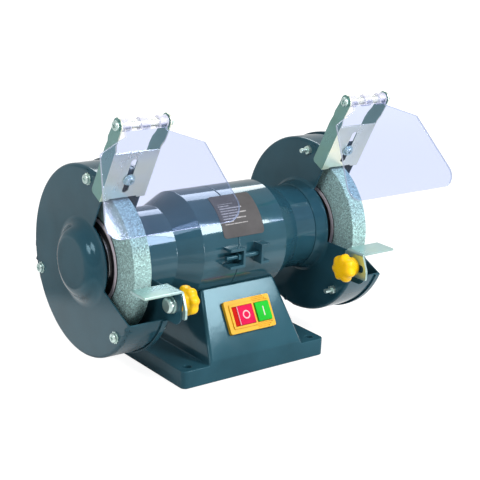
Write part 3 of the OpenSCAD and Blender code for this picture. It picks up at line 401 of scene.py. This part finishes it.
def gloss_enamel(name, tone, lacquer=0.0):
    """Gloss enamel: slow changes of depth, fine orange peel and dust, under a share of clear lacquer."""
    paint = Shader(name)
    spot = paint.place()
    cloud = paint.noise(spot, 22.0, 3.0)
    fleck = paint.cells(spot, 2600.0)
    body = paint.blend(cloud.ease(0.3, 0.7), rgba(tone, 0.86), rgba(tone, 1.14))
    base = paint.blend((fleck < 0.16) * 0.22, body, rgba(tone, 2.2))
    peel = paint.noise(spot, 330.0, 2.0)
    wipe = paint.noise(spot, 60.0, 4.0)
    return paint.finish(Base_Color=base, Roughness=0.05 + 0.10 * wipe, Specular_IOR_Level=0.36,
        Specular_Tint=GLOSS_TINT, Coat_Weight=lacquer, Coat_Roughness=0.04,
        Normal=paint.bump(peel, 0.00004, 0.5))


def zinc_plate(name, tone, grain=(1, 1, 1)):
    """Passivated zinc: a metal with a faint straw bloom, duller stains and a soft drawn grain."""
    plate = Shader(name)
    bloom = plate.noise(plate.place(), 55.0, 3.0)
    straw = plate.blend(bloom.ease(0.4, 0.75), tone, (tone[0] * 1.04, tone[1] * 1.01, tone[2] * 0.93))
    drawn = plate.noise(plate.place(grain), 260.0, 2.0)
    stain = plate.noise(plate.place(), 70.0, 3.0)
    base = plate.blend(stain.ease(0.45, 0.8) * 0.35, straw, rgba(tone, 0.72))
    return plate.finish(Base_Color=base, Metallic=0.75, Roughness=0.25 + 0.04 * bloom + 0.02 * drawn,
        Normal=plate.bump(bloom, 0.00003, 0.5))


def turned_steel(name, tone):
    """Bright steel turned about the spindle, with fine rings."""
    steel = Shader(name)
    rings = steel.noise(steel.place((1, 0.02, 0.02)), 1500.0, 2.0)
    smear = steel.noise(steel.place(), 70.0, 3.0)
    base = steel.blend(smear, rgba(tone, 0.85), rgba(tone, 1.1))
    return steel.finish(Base_Color=base, Metallic=1.0, Roughness=0.18 + 0.2 * rings,
        Normal=steel.bump(rings, 0.00002, 0.5))


def bonded_grit(name, tone):
    """Bonded abrasive: pale and dark grains with pores between them."""
    grit = Shader(name)
    spot = grit.place()
    grain = grit.cells(spot, 1150.0, out="Color")
    value = grit.node("ShaderNodeSeparateColor", {}, {"Color": grain})
    pits = grit.cells(spot, 900.0)
    cloud = grit.noise(spot, 45.0, 3.0)
    speck = grit.node("ShaderNodeValToRGB", {"stops": [(0.0, rgba(tone, 0.42)), (0.3, rgba(tone, 0.85)),
        (0.7, rgba(tone, 1.12)), (1.0, rgba(tone, 1.75))]}, {"Fac": value})
    base = grit.blend(cloud.ease(0.35, 0.7) * 0.35, speck, rgba(tone, 0.86))
    rough = grit.noise(spot, 1400.0, 3.0)
    return grit.finish(Base_Color=base, Roughness=0.78 + 0.15 * rough,
        Normal=grit.bump(pits + rough, 0.00035, 0.8))


def moulded(name, tone, shine):
    """Moulded plastic: a faint flow pattern and a fine tool texture."""
    plastic = Shader(name)
    spot = plastic.place()
    flow = plastic.noise(spot, 48.0, 3.0)
    fine = plastic.noise(spot, 1500.0, 2.0)
    base = plastic.blend(flow.ease(0.3, 0.7), rgba(tone, 0.88), rgba(tone, 1.06))
    return plastic.finish(Base_Color=base, Roughness=shine + 0.14 * fine, Specular_IOR_Level=0.25,
        Normal=plastic.bump(fine, 0.00003, 0.5))


def clear_sheet(name, tone, tint, cover, shine, metal):
    """Clear sheet that tints what lies behind it, under a glossy skin with slow haze and rub marks.

    The skin covers a share of what is seen straight on, and all of it at a glance.
    """
    sheet = Shader(name)
    rub = sheet.noise(sheet.place((1, 1, 0.08)), 90.0, 3.0)
    haze = sheet.noise(sheet.place(), 16.0, 2.0)
    base = sheet.blend(haze, rgba(tone, 0.94), rgba(tone))
    skin = sheet.node("ShaderNodeBsdfPrincipled", {}, {"Base Color": base, "Roughness": shine + 0.05 * rub,
        "Metallic": metal}, "BSDF")
    through = sheet.node("ShaderNodeBsdfTransparent", {}, {"Color": rgba(tint)})
    facing = sheet.node("ShaderNodeLayerWeight", {}, {"Blend": 0.5}, "Facing")
    share = cover + (1 - cover) * facing.math("POWER", facing, 5.0)
    return sheet.show(sheet.node("ShaderNodeMixShader", {}, {0: share, 1: through, 2: skin}))


def printed_label(name, tone, middle):
    """A satin label bent round the barrel, with plain pale rules in place of print."""
    label = Shader(name)
    x, y, z = label.axes(label.place(centre=(middle, 0, SPINDLE_HEIGHT)))
    turn = z.math("ARCTAN2", -1 * y, z)
    row = turn * (1 / LABEL_ROW)
    line = row.math("FRACT")
    spread = label.node("ShaderNodeTexWhiteNoise", {"noise_dimensions": "1D"}, {"W": row.math("FLOOR")})
    reach = LABEL_LEFT + LABEL_SPAN * (0.35 + 0.65 * spread)
    inside = turn.between(*LABEL_BAND)
    letters = label.noise(label.place((1, 0.25, 0.25)), 2600.0, 1.0)
    ink = line.between(0.3, 0.72) * (x > LABEL_LEFT) * (x < reach) * inside * (letters > 0.42)
    wear = label.noise(label.place(), 90.0, 3.0)
    ground = label.blend(wear.ease(0.3, 0.7), rgba(tone, 0.9), rgba(tone, 1.08))
    base = label.blend(ink * LABEL_INK_SHARE, ground, LABEL_INK)
    return label.finish(Base_Color=base, Roughness=0.5 + 0.1 * wear, Specular_IOR_Level=0.1,
        Normal=label.bump(wear, 0.00004, 0.4))


def button_plastic(name, tone, mark_tone, mark, spot, outward, strip):
    """Moulded button with a pale raised ring or bar, and maybe a darker strip with a pale edge."""
    button = Shader(name)
    lean = math.atan2(outward.z, -outward.y)
    x, up, out = button.axes(button.place(centre=spot, turn=(lean - math.pi / 2, 0, 0)))
    if mark == "ring":
        shown = x.radius(up).between(*RING)
    else:
        shown = x.between(-BAR_HALF[0], BAR_HALF[0]) * up.between(-BAR_HALF[1], BAR_HALF[1])
    shown = shown * (out > -MARK_SKIN)
    flow = button.noise(button.place(), 120.0, 3.0)
    base = button.blend(flow.ease(0.3, 0.7), rgba(tone, 0.9), rgba(tone, 1.05))
    if strip:
        base = button.blend(x < strip[0], base, STRIP_TONE)
        base = button.blend(x.between(*strip) * 0.8, base, rgba(mark_tone))
    base = button.blend(shown, base, rgba(mark_tone))
    fine = button.noise(button.place(), 1500.0, 2.0)
    return button.finish(Base_Color=base, Roughness=0.5 + 0.12 * fine, Specular_IOR_Level=0.06,
        Normal=button.bump(fine, 0.00002, 0.5))


def blotter_paper(name, tone, axis_height, rim):
    """Glazed paper disc on a wheel's flank: a pale rim, finely ringed, with painted shade: near black
    inside the rim and a thin dark line at the very edge.
    """
    ring = Shader(name)
    spot = ring.place(centre=(0, 0, axis_height))
    y, z = ring.axes(spot)[1:]
    radius = y.radius(z)
    rings = ring.noise(ring.place((1, 0.03, 0.03)), 1200.0, 2.0)
    crease = ring.noise(spot, 180.0, 3.0)
    pale = ring.blend(crease, rgba(tone, 0.94), rgba(tone, 1.04))
    edge = radius.ease(rim - BLOTTER_RIM, rim - BLOTTER_RIM * BLOTTER_SOFT)
    shown = edge * (radius < rim - BLOTTER_SHADE_LINE)
    # Painted shade: all of the disc but the pale rim, and a thin line at its very edge, is near black.
    base = ring.blend(shown, rgba(tone, 0.03), pale)
    return ring.finish(Base_Color=base, Roughness=0.2 + 0.2 * rings, Coat_Weight=0.4, Coat_Roughness=0.1,
        Normal=ring.bump(crease, 0.00006, 0.5))


def laminated(name, tone):
    """Stacked steel sheets, whose edges show as fine lines across the shaft."""
    stack = Shader(name)
    x = stack.axes(stack.place())[0]
    edge = (x * (math.tau / SHEET_PITCH)).math("SINE")
    stain = stack.noise(stack.place(), 140.0, 3.0)
    base = stack.blend(edge.ease(-0.6, 0.6), rgba(tone, 0.35), rgba(tone, 0.75))
    return stack.finish(Base_Color=base, Metallic=0.8, Roughness=0.35 + 0.25 * stain,
        Normal=stack.bump(edge, 0.00005, 0.6))


def enamelled_wire(name, tone):
    """Lacquered copper wire wound round the shaft's axis."""
    wire = Shader(name)
    x, y, z = wire.axes(wire.place(centre=(0, 0, SPINDLE_HEIGHT)))
    turns = ((x + y.radius(z)) * (math.tau / WIRE_PITCH)).math("SINE")
    patch = wire.noise(wire.place(), 160.0, 2.0)
    base = wire.blend(patch, rgba(tone, 0.7), rgba(tone, 1.2))
    return wire.finish(Base_Color=base, Metallic=0.7, Roughness=0.25 + 0.15 * patch, Coat_Weight=0.5,
        Coat_Roughness=0.1, Normal=wire.bump(turns, 0.0001, 0.8))


def rubber(name, tone):
    """Matt black rubber with dusty patches."""
    foot = Shader(name)
    dust = foot.noise(foot.place(), 90.0, 4.0)
    base = foot.blend(dust.ease(0.5, 0.8), rgba(tone), rgba(tone, 2.4))
    return foot.finish(Base_Color=base, Roughness=0.75 + 0.15 * dust, Normal=foot.bump(dust, 0.0001, 0.5))


def pale_floor(name):
    """White paper that keeps a faint shadow; seen in glossy surfaces it glows brighter in a pool round the
    machine and far out, a painted reflection.
    """
    paper = Shader(name)
    fibre = paper.noise(paper.place(), 60.0, 3.0)
    base = paper.blend(fibre, *FLOOR_TONES)
    matt = paper.node("ShaderNodeBsdfDiffuse", {}, {"Color": base, "Roughness": 0.5})
    glow = paper.node("ShaderNodeEmission", {}, {"Color": (1, 1, 1, 1), "Strength": FLOOR_GLOW})
    x, y = paper.axes(paper.place())[:2]
    radius = x.radius(y)
    plain = FLOOR_GLOW_SHARE + (1 - FLOOR_GLOW_SHARE) * radius.ease(*FLOOR_FAR)
    # Painted reflection: glossy rays see a brighter pool and a brighter far ring, with a darker band
    # between them.
    pool = radius.ease(*POOL_IN) * (1 - radius.ease(*POOL_OUT))
    painted_reflection_share = FLOOR_MIRROR_SHARE + pool * POOL_SHARE + radius.ease(*POOL_FAR) * POOL_FAR_SHARE
    seen, mirrored, passed = paper.background()
    share = (seen + passed) * plain + mirrored * painted_reflection_share
    return paper.show(paper.node("ShaderNodeMixShader", {}, {0: share, 1: matt, 2: glow}))


def white_surround(name, level):
    """Dim soft light from all round, that is white to the eye and half white in reflections."""
    air = Shader(name, "World")
    seen, mirrored, passed = air.background()
    soft = air.node("ShaderNodeBackground", {}, {"Strength": level})
    white = air.node("ShaderNodeBackground", {}, {"Color": (1, 1, 1, 1)})
    share = seen + passed + mirrored * WORLD_MIRROR_SHARE
    return air.show(air.node("ShaderNodeMixShader", {}, {0: share, 1: soft, 2: white}))


# Mesh tools -----------------------------------------------------------------------


def select_only(piece):
    """Leaves one object selected and active."""
    bpy.ops.object.select_all(action="DESELECT")
    piece.select_set(True)
    bpy.context.view_layer.objects.active = piece


def edit(piece):
    """Opens a piece's mesh for editing with all of it selected."""
    select_only(piece)
    bpy.ops.object.mode_set(mode="EDIT")
    bpy.ops.mesh.select_all(action="SELECT")


def done():
    """Closes the mesh."""
    bpy.ops.object.mode_set(mode="OBJECT")


def pick(piece, test):
    """Selects the corners that pass a test, in edit mode."""
    bpy.ops.mesh.select_all(action="DESELECT")
    bpy.ops.mesh.select_mode(type="VERT")
    mesh = bmesh.from_edit_mesh(piece.data)
    for corner in mesh.verts:
        if test(corner):
            corner.select_set(True)
    mesh.select_flush(True)
    bmesh.update_edit_mesh(piece.data)


def named(name):
    """The active object and its mesh, renamed."""
    piece = bpy.context.object
    piece.name = name
    piece.data.name = name
    return piece


def settle(piece):
    """Puts the piece's place into its mesh, so that its object sits unturned at the origin."""
    select_only(piece)
    bpy.ops.object.transform_apply(location=True, rotation=True, scale=True)
    return piece


def apply(piece, kind, **settings):
    """Adds a modifier with its settings and applies it."""
    select_only(piece)
    added = piece.modifiers.new(kind.lower(), kind)
    for key, value in settings.items():
        setattr(added, key, value)
    bpy.ops.object.modifier_apply(modifier=added.name)


def round_edges(piece, radius, steps, crease):
    """Rounds every edge sharper than the crease and smooths the rest, with each large face kept true."""
    apply(piece, "BEVEL", width=radius, segments=steps, limit_method="ANGLE",
        angle_limit=math.radians(crease), use_clamp_overlap=False)
    select_only(piece)
    bpy.ops.object.shade_smooth_by_angle(angle=math.radians(crease))
    apply(piece, "WEIGHTED_NORMAL", mode="FACE_AREA", weight=100, keep_sharp=True)


def merged_copy(node, name):
    """A copy of a frame node with its triangles joined and its flat faces made whole."""
    piece = bpy.data.objects.new(name, frame["nodes"][node].data.copy())
    bpy.context.collection.objects.link(piece)
    piece.data.name = name
    edit(piece)
    bpy.ops.mesh.remove_doubles(threshold=WELD)
    bpy.ops.mesh.customdata_custom_splitnormals_clear()
    bpy.ops.mesh.dissolve_limited(angle_limit=math.radians(FLAT_ANGLE))
    done()
    return piece


def stand_in(piece, node, finish):
    """The piece takes the node's body and place in view, with a finish."""
    coat(piece, finish)
    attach(piece, frame["nodes"][node]["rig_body"])
    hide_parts(node)
    return piece


def coat(piece, finish):
    """Gives a piece or a frame node one finish all over."""
    piece.data.materials.clear()
    piece.data.materials.append(finish)


def coat_node(node, finish):
    """Gives a frame node a finish without touching its mesh."""
    for slot in frame["nodes"][node].material_slots:
        slot.material = finish


def soften(node, radius, finish, steps=2, crease=CREASE):
    """Replaces a node with a copy whose edges are rounded, and returns the copy."""
    piece = merged_copy(node, node + "_soft")
    round_edges(piece, radius, steps, crease)
    return stand_in(piece, node, finish)


def lobed_knob(name, foot, way):
    """A clamp knob from its foot along x: a round neck, a head with soft lobes, and a domed face."""
    corners = sizes().knob_lobes * LOBE_STEPS
    bpy.ops.object.select_all(action="DESELECT")
    bpy.ops.mesh.primitive_circle_add(vertices=corners, radius=KNOB_PROFILE[0][1], fill_type="NGON")
    piece = named(name)
    edit(piece)
    for (low, inner), (high, outer) in zip(KNOB_PROFILE, KNOB_PROFILE[1:]):
        bpy.ops.mesh.extrude_region_move(TRANSFORM_OT_translate={"value": (0, 0, high - low)})
        bpy.ops.transform.resize(value=(outer / inner, outer / inner, 1), center_override=(0, 0, high))
    for step in range(1, LOBE_STEPS):
        shrink = 1 - LOBE_DEPTH * (1 - math.cos(math.tau * step / LOBE_STEPS)) / 2
        pick(piece, lambda corner: corner.co.z > LOBE_START
            and round(math.atan2(corner.co.y, corner.co.x) / math.tau * corners) % LOBE_STEPS == step)
        bpy.ops.transform.resize(value=(shrink, shrink, 1), center_override=(0, 0, 0))
    bpy.ops.mesh.select_all(action="SELECT")
    bpy.ops.mesh.normals_make_consistent(inside=False)
    done()
    bpy.ops.object.shade_smooth_by_angle(angle=math.radians(KNOB_CREASE))
    piece.rotation_euler = (0, way * math.pi / 2, 0)
    piece.location = foot
    return settle(piece)


def face_normal(node, near):
    """The normal of the largest flat face of a node that points near a direction."""
    mesh = frame["nodes"][node].data
    near = near.normalized()
    area = {}
    for face in mesh.polygons:
        if face.normal.dot(near) > TOWARDS:
            key = tuple(round(value, 3) for value in face.normal)
            area[key] = area.get(key, 0) + face.area
    return Vector(max(area, key=area.get)).normalized()


def top_centre(node, outward):
    """The middle of the face of a node that stands furthest out in a direction."""
    corners = [vertex.co for vertex in frame["nodes"][node].data.vertices]
    reach = max(corner.dot(outward) for corner in corners)
    top = [corner for corner in corners if corner.dot(outward) > reach - TOP_SKIN]
    return sum(top, Vector()) / len(top)


def sizes():
    """The sizes set in the panel."""
    return bpy.context.scene.grinder_sizes


def tones():
    """The colours set in the panel."""
    return bpy.context.scene.grinder_colours


# Operators ------------------------------------------------------------------------


class GRINDER_OT_castings(bpy.types.Operator):
    """Rounds and enamels the stand and the two halves of the motor shell"""

    bl_idname = "grinder.castings"
    bl_label = "Castings"

    def execute(self, context):
        enamel = gloss_enamel("gloss_enamel_cast", tuple(tones().paint))
        lacquered = gloss_enamel("gloss_enamel_shell", tuple(tones().paint), 0.5)
        soften("stand", sizes().cast_edge, enamel, 3, CAST_CREASE)
        for node in ("motor_shell_left", "motor_shell_right"):
            soften(node, sizes().shell_edge, lacquered, 3, CAST_CREASE)
        return {"FINISHED"}


class GRINDER_OT_guards(bpy.types.Operator):
    """Rounds and enamels the pressed wheel guards and their covers"""

    bl_idname = "grinder.guards"
    bl_label = "Guards"

    def execute(self, context):
        enamel = gloss_enamel("gloss_enamel_pressed", tuple(tones().paint))
        for node in ("guard_drum_left", "guard_lid_left", "guard_drum_right", "guard_lid_right"):
            soften(node, sizes().sheet_edge, enamel, 2, CAST_CREASE)
        return {"FINISHED"}


class GRINDER_OT_wheels(bpy.types.Operator):
    """Finishes the two abrasive wheels, their paper blotters, flanges, nuts and shaft"""

    bl_idname = "grinder.wheels"
    bl_label = "Wheels and spindle"

    def execute(self, context):
        grit = bonded_grit("bonded_grit", tuple(tones().grit))
        for node in ("wheel_left", "wheel_right"):
            soften(node, sizes().plate_edge, grit)
        steel = turned_steel("turned_steel", tuple(tones().steel))
        for node in ("inner_flanges", "outer_flanges"):
            soften(node, sizes().hardware_edge, steel)
        soften("spindle_nuts", sizes().hardware_edge, zinc_plate("spindle_zinc", tuple(tones().zinc)))
        coat_node("shaft", turned_steel("shaft_steel", tuple(tones().steel)))
        low, high = (corner.z for corner in BOX["wheel_blotters"])
        paper = blotter_paper("blotter_paper", tuple(tones().blotter), (low + high) / 2, (high - low) / 2)
        coat_node("wheel_blotters", paper)
        return {"FINISHED"}


class GRINDER_OT_brackets(bpy.types.Operator):
    """Finishes the slotted shield brackets with their hinge bolts, tubes and nuts"""

    bl_idname = "grinder.brackets"
    bl_label = "Shield brackets"

    def execute(self, context):
        # Painted light and shade: the brackets' fronts take a brighter copy of the zinc, and their sideways
        # arms a darker one.
        plate = zinc_plate("bracket_zinc", tuple(tones().bracket_zinc), (1, 0.15, 0.15))
        shaded_arm_zinc = zinc_plate("arm_zinc", tuple(tones().arm_zinc), (0.15, 1, 1))
        hardware = zinc_plate("hinge_zinc", tuple(tones().zinc))
        sleeve = zinc_plate("hinge_sleeve_zinc", SLEEVE_TONE)
        for side in ("left", "right"):
            bracket = soften("shield_bracket_" + side, sizes().plate_edge, plate)
            # Faces turned sideways, the arms, take the darker copy: painted shade.
            bracket.data.materials.append(shaded_arm_zinc)
            for face in bracket.data.polygons:
                face.material_index = 1 if abs(face.normal.x) > SHADED_ARM_SHARE else 0
            soften("hinge_bolt_" + side, sizes().hardware_edge, hardware)
            soften("hinge_nut_" + side, sizes().hardware_edge, hardware)
            soften("hinge_tube_" + side, sizes().hardware_edge, sleeve)
        return {"FINISHED"}


class GRINDER_OT_shields(bpy.types.Operator):
    """Rounds the clear eye shields and gives them a tinted sheet finish, with a painted highlight on the
    cut edges
    """

    bl_idname = "grinder.shields"
    bl_label = "Eye shields"

    def execute(self, context):
        tint = tuple(tones().shield_tint)
        sheet = clear_sheet("clear_sheet", tuple(tones().shield), tint, cover=0.05, shine=0.04, metal=1.0)
        # Painted highlight: the cut edges are a brighter, more opaque lilac copy of the sheet.
        rim = clear_sheet("clear_edge", tuple(tones().shield_edge), tint, cover=0.6, shine=0.08, metal=0.2)
        knuckle = clear_sheet("clear_knuckle", KNUCKLE_TONE, KNUCKLE_TINT, cover=0.5, shine=0.3, metal=0.0)
        for node in ("eye_shield_left", "eye_shield_right"):
            flat = face_normal(node, Vector((0, -1, 0.3)))
            piece = soften(node, sizes().shield_edge, sheet, 3)
            piece.data.materials.append(rim)
            piece.data.materials.append(knuckle)
            pin = BOX["hinge_bolt_" + node.rsplit("_", 1)[1]]
            axis = (pin[0] + pin[1]) / 2
            for face in piece.data.polygons:
                away = Vector((face.center.y - axis.y, face.center.z - axis.z)).length
                flat_face = abs(face.normal.dot(flat)) > FLAT_SHARE
                face.material_index = 2 if away < KNUCKLE_REACH else 0 if flat_face else 1
        return {"FINISHED"}


class GRINDER_OT_rests(bpy.types.Operator):
    """Finishes the work rests, their bolts and washers, and the lobed clamp knobs"""

    bl_idname = "grinder.rests"
    bl_label = "Work rests"

    def execute(self, context):
        plate = zinc_plate("rest_zinc", tuple(tones().rest_zinc), (0.15, 1, 1))
        knob = moulded("knob_plastic", tuple(tones().knob), 0.2)
        for side, way in (("left", 1), ("right", -1)):
            soften("tool_rest_" + side, sizes().plate_edge, plate)
            low, high = BOX["rest_knob_" + side]
            foot = (low + high) / 2
            foot.x = low.x if side == "left" else high.x
            stand_in(lobed_knob("clamp_knob_" + side, foot, way), "rest_knob_" + side, knob)
        for node in ("rest_bolts", "rest_washers"):
            soften(node, sizes().hardware_edge, zinc_plate(node + "_zinc", tuple(tones().zinc)))
        return {"FINISHED"}


class GRINDER_OT_hardware(bpy.types.Operator):
    """Rounds and plates the screws, nuts, washers and the bottom plate"""

    bl_idname = "grinder.hardware"
    bl_label = "Hardware"

    def execute(self, context):
        zinc = zinc_plate("hardware_zinc", tuple(tones().zinc))
        for node in ("cover_screws", "cover_washers", "cover_nuts", "bracket_screws", "bracket_nuts",
                "guard_fixing_screws", "motor_mount_screws", "bottom_plate_screws", "bottom_plate"):
            soften(node, sizes().hardware_edge, zinc)
        enamel = gloss_enamel("screw_enamel", tuple(tones().paint))
        for node in ("shell_clamp_screws", "shell_clamp_nuts"):
            soften(node, sizes().hardware_edge, enamel)
        return {"FINISHED"}


class GRINDER_OT_switch(bpy.types.Operator):
    """Finishes the switch: yellow bezel, red and green buttons with their symbols, and its black body"""

    bl_idname = "grinder.switch"
    bl_label = "Switch"

    def execute(self, context):
        yellow = moulded("bezel_plastic", tuple(tones().bezel), 0.34)
        soften("switch_bezel", sizes().bezel_edge, yellow, 2, CAST_CREASE)
        outward = face_normal("stand", Vector((0, -1, 0.5)))
        for name, mark in (("stop", "ring"), ("start", "bar")):
            node = name + "_button"
            spot = top_centre(node, outward)
            edge = BOX[node][0].x + STRIP_EDGE - spot.x
            strip = (edge, edge + STRIP_LINE) if mark == "ring" else None
            tone = tuple(getattr(tones(), name))
            pale = tuple(MARK_SHARE * white + (1 - MARK_SHARE) * own
                for white, own in zip(tones().mark, tone))
            plastic = button_plastic(node + "_plastic", tone, pale, mark, spot, outward, strip)
            soften(node, sizes().button_edge, plastic)
        coat_node("switch_body", moulded("switch_black", HIDDEN_TONES["switch_body"], 0.4))
        return {"FINISHED"}


class GRINDER_OT_label(bpy.types.Operator):
    """Finishes the bare data label on the barrel"""

    bl_idname = "grinder.label"
    bl_label = "Label"

    def execute(self, context):
        low, high = (corner.x for corner in BOX["rating_label"])
        coat_node("rating_label", printed_label("label_satin", tuple(tones().label), (low + high) / 2))
        return {"FINISHED"}


class GRINDER_OT_insides(bpy.types.Operator):
    """Finishes the motor, capacitor, terminals, cord gland and rubber feet"""

    bl_idname = "grinder.insides"
    bl_label = "Insides and feet"

    def execute(self, context):
        steel = tuple(tones().steel)
        lamination = laminated("lamination", steel)
        for node, finish in (("stator_core", lamination), ("rotor_core", lamination),
                ("stator_windings", enamelled_wire("enamelled_wire", HIDDEN_TONES["stator_windings"])),
                ("bearing_left", turned_steel("bearing_steel", steel)),
                ("bearing_right", turned_steel("bearing_steel", steel)),
                ("wave_washer", turned_steel("spring_steel", steel)),
                ("capacitor", moulded("white_plastic", HIDDEN_TONES["capacitor"], 0.35)),
                ("terminal_block", moulded("block_plastic", HIDDEN_TONES["terminal_block"], 0.45)),
                ("capacitor_clip", zinc_plate("clip_zinc", tuple(tones().zinc))),
                ("gland_nut", moulded("nut_black", HIDDEN_TONES["gland_nut"], 0.42)),
                ("cable_gland", moulded("gland_black", HIDDEN_TONES["cable_gland"], 0.42)),
                ("rubber_feet", rubber("foot_rubber", HIDDEN_TONES["rubber_feet"]))):
            coat_node(node, finish)
        return {"FINISHED"}


class GRINDER_OT_stage(bpy.types.Operator):
    """Sets the camera, the pale floor, the soft surround and the softboxes"""

    bl_idname = "grinder.stage"
    bl_label = "Stage"

    def execute(self, context):
        settings = context.scene.grinder_stage
        self.camera(context)
        self.floor()
        context.scene.world = white_surround("surround", settings.world_level)
        for name, (azimuth, height, distance, wide, tall, lean) in SOFTBOXES.items():
            watts = getattr(settings, name + "_power")
            self.softbox(name, (azimuth, height, lean), distance, (wide, tall), watts)
        context.scene.view_settings.view_transform = "Standard"
        return {"FINISHED"}

    def camera(self, context):
        """A long lens that looks along the view's azimuth and height, rolled and shifted."""
        back = Vector((math.sin(VIEW_AZIMUTH) * math.cos(VIEW_HEIGHT),
            -math.cos(VIEW_AZIMUTH) * math.cos(VIEW_HEIGHT), math.sin(VIEW_HEIGHT)))
        level = Vector((math.cos(VIEW_AZIMUTH), math.sin(VIEW_AZIMUTH), 0))
        rise = back.cross(level)
        right = math.cos(VIEW_ROLL) * level + math.sin(VIEW_ROLL) * rise
        up = math.cos(VIEW_ROLL) * rise - math.sin(VIEW_ROLL) * level
        spot = VIEW_SHIFT[0] * right + VIEW_SHIFT[1] * up + VIEW_DISTANCE * back
        turn = Matrix((right, up, back)).transposed().to_4x4()
        lens = bpy.data.cameras.new("view")
        lens.lens = VIEW_LENS
        lens.sensor_width = VIEW_SENSOR
        lens.clip_start, lens.clip_end = VIEW_CLIP
        view = bpy.data.objects.new("view", lens)
        view.matrix_world = Matrix.Translation(spot) @ turn
        context.scene.collection.objects.link(view)
        context.scene.camera = view

    def floor(self):
        """A wide disc of paper under the machine."""
        bpy.ops.object.select_all(action="DESELECT")
        bpy.ops.mesh.primitive_circle_add(vertices=96, radius=FLOOR_RADIUS, fill_type="NGON",
            location=(0, 0, CAD_BOX[0].z))
        floor = settle(named("floor"))
        coat(floor, pale_floor("pale_floor"))

    def softbox(self, name, angles, distance, size, watts):
        """A lamp that faces the machine's middle, from an azimuth, a height and a lean in degrees."""
        turn, rise, lean = (math.radians(angle) for angle in angles)
        way = Vector((math.cos(rise) * math.cos(turn), math.cos(rise) * math.sin(turn), math.sin(rise)))
        lamp = bpy.data.lights.new(name + "_softbox", "AREA")
        lamp.shape = "RECTANGLE"
        lamp.size, lamp.size_y = size
        lamp.energy = watts
        box = bpy.data.objects.new(name + "_softbox", lamp)
        box.location = LAMP_AIM + distance * way
        box.rotation_euler = (way.to_track_quat("Z", "Y") @ Quaternion((0, 0, 1), lean)).to_euler()
        box.visible_camera = False
        bpy.context.scene.collection.objects.link(box)


STEPS = (GRINDER_OT_castings, GRINDER_OT_guards, GRINDER_OT_wheels, GRINDER_OT_brackets, GRINDER_OT_shields,
    GRINDER_OT_rests, GRINDER_OT_hardware, GRINDER_OT_switch, GRINDER_OT_label, GRINDER_OT_insides,
    GRINDER_OT_stage)


class GRINDER_PT_panel(bpy.types.Panel):
    """Sizes, colours and steps of the bench grinder"""

    bl_idname = "GRINDER_PT_panel"
    bl_label = "Bench Grinder"
    bl_space_type = "VIEW_3D"
    bl_region_type = "UI"
    bl_category = "Grinder"

    def draw(self, context):
        scene = context.scene
        for group in (scene.grinder_sizes, scene.grinder_colours, scene.grinder_stage):
            box = self.layout.box()
            for name in group.__annotations__:
                box.prop(group, name)
        for step in STEPS:
            self.layout.operator(step.bl_idname)


CLASSES = (GrinderSizes, GrinderColours, GrinderStage, *STEPS, GRINDER_PT_panel)


def register():
    for item in CLASSES:
        bpy.utils.register_class(item)
    bpy.types.Scene.grinder_sizes = PointerProperty(type=GrinderSizes)
    bpy.types.Scene.grinder_colours = PointerProperty(type=GrinderColours)
    bpy.types.Scene.grinder_stage = PointerProperty(type=GrinderStage)


def unregister():
    del bpy.types.Scene.grinder_stage
    del bpy.types.Scene.grinder_colours
    del bpy.types.Scene.grinder_sizes
    for item in reversed(CLASSES):
        bpy.utils.unregister_class(item)


def main():
    register()
    for step in STEPS:
        group, name = step.bl_idname.split(".")
        getattr(getattr(bpy.ops, group), name)()


if __name__ == "__main__":
    main()
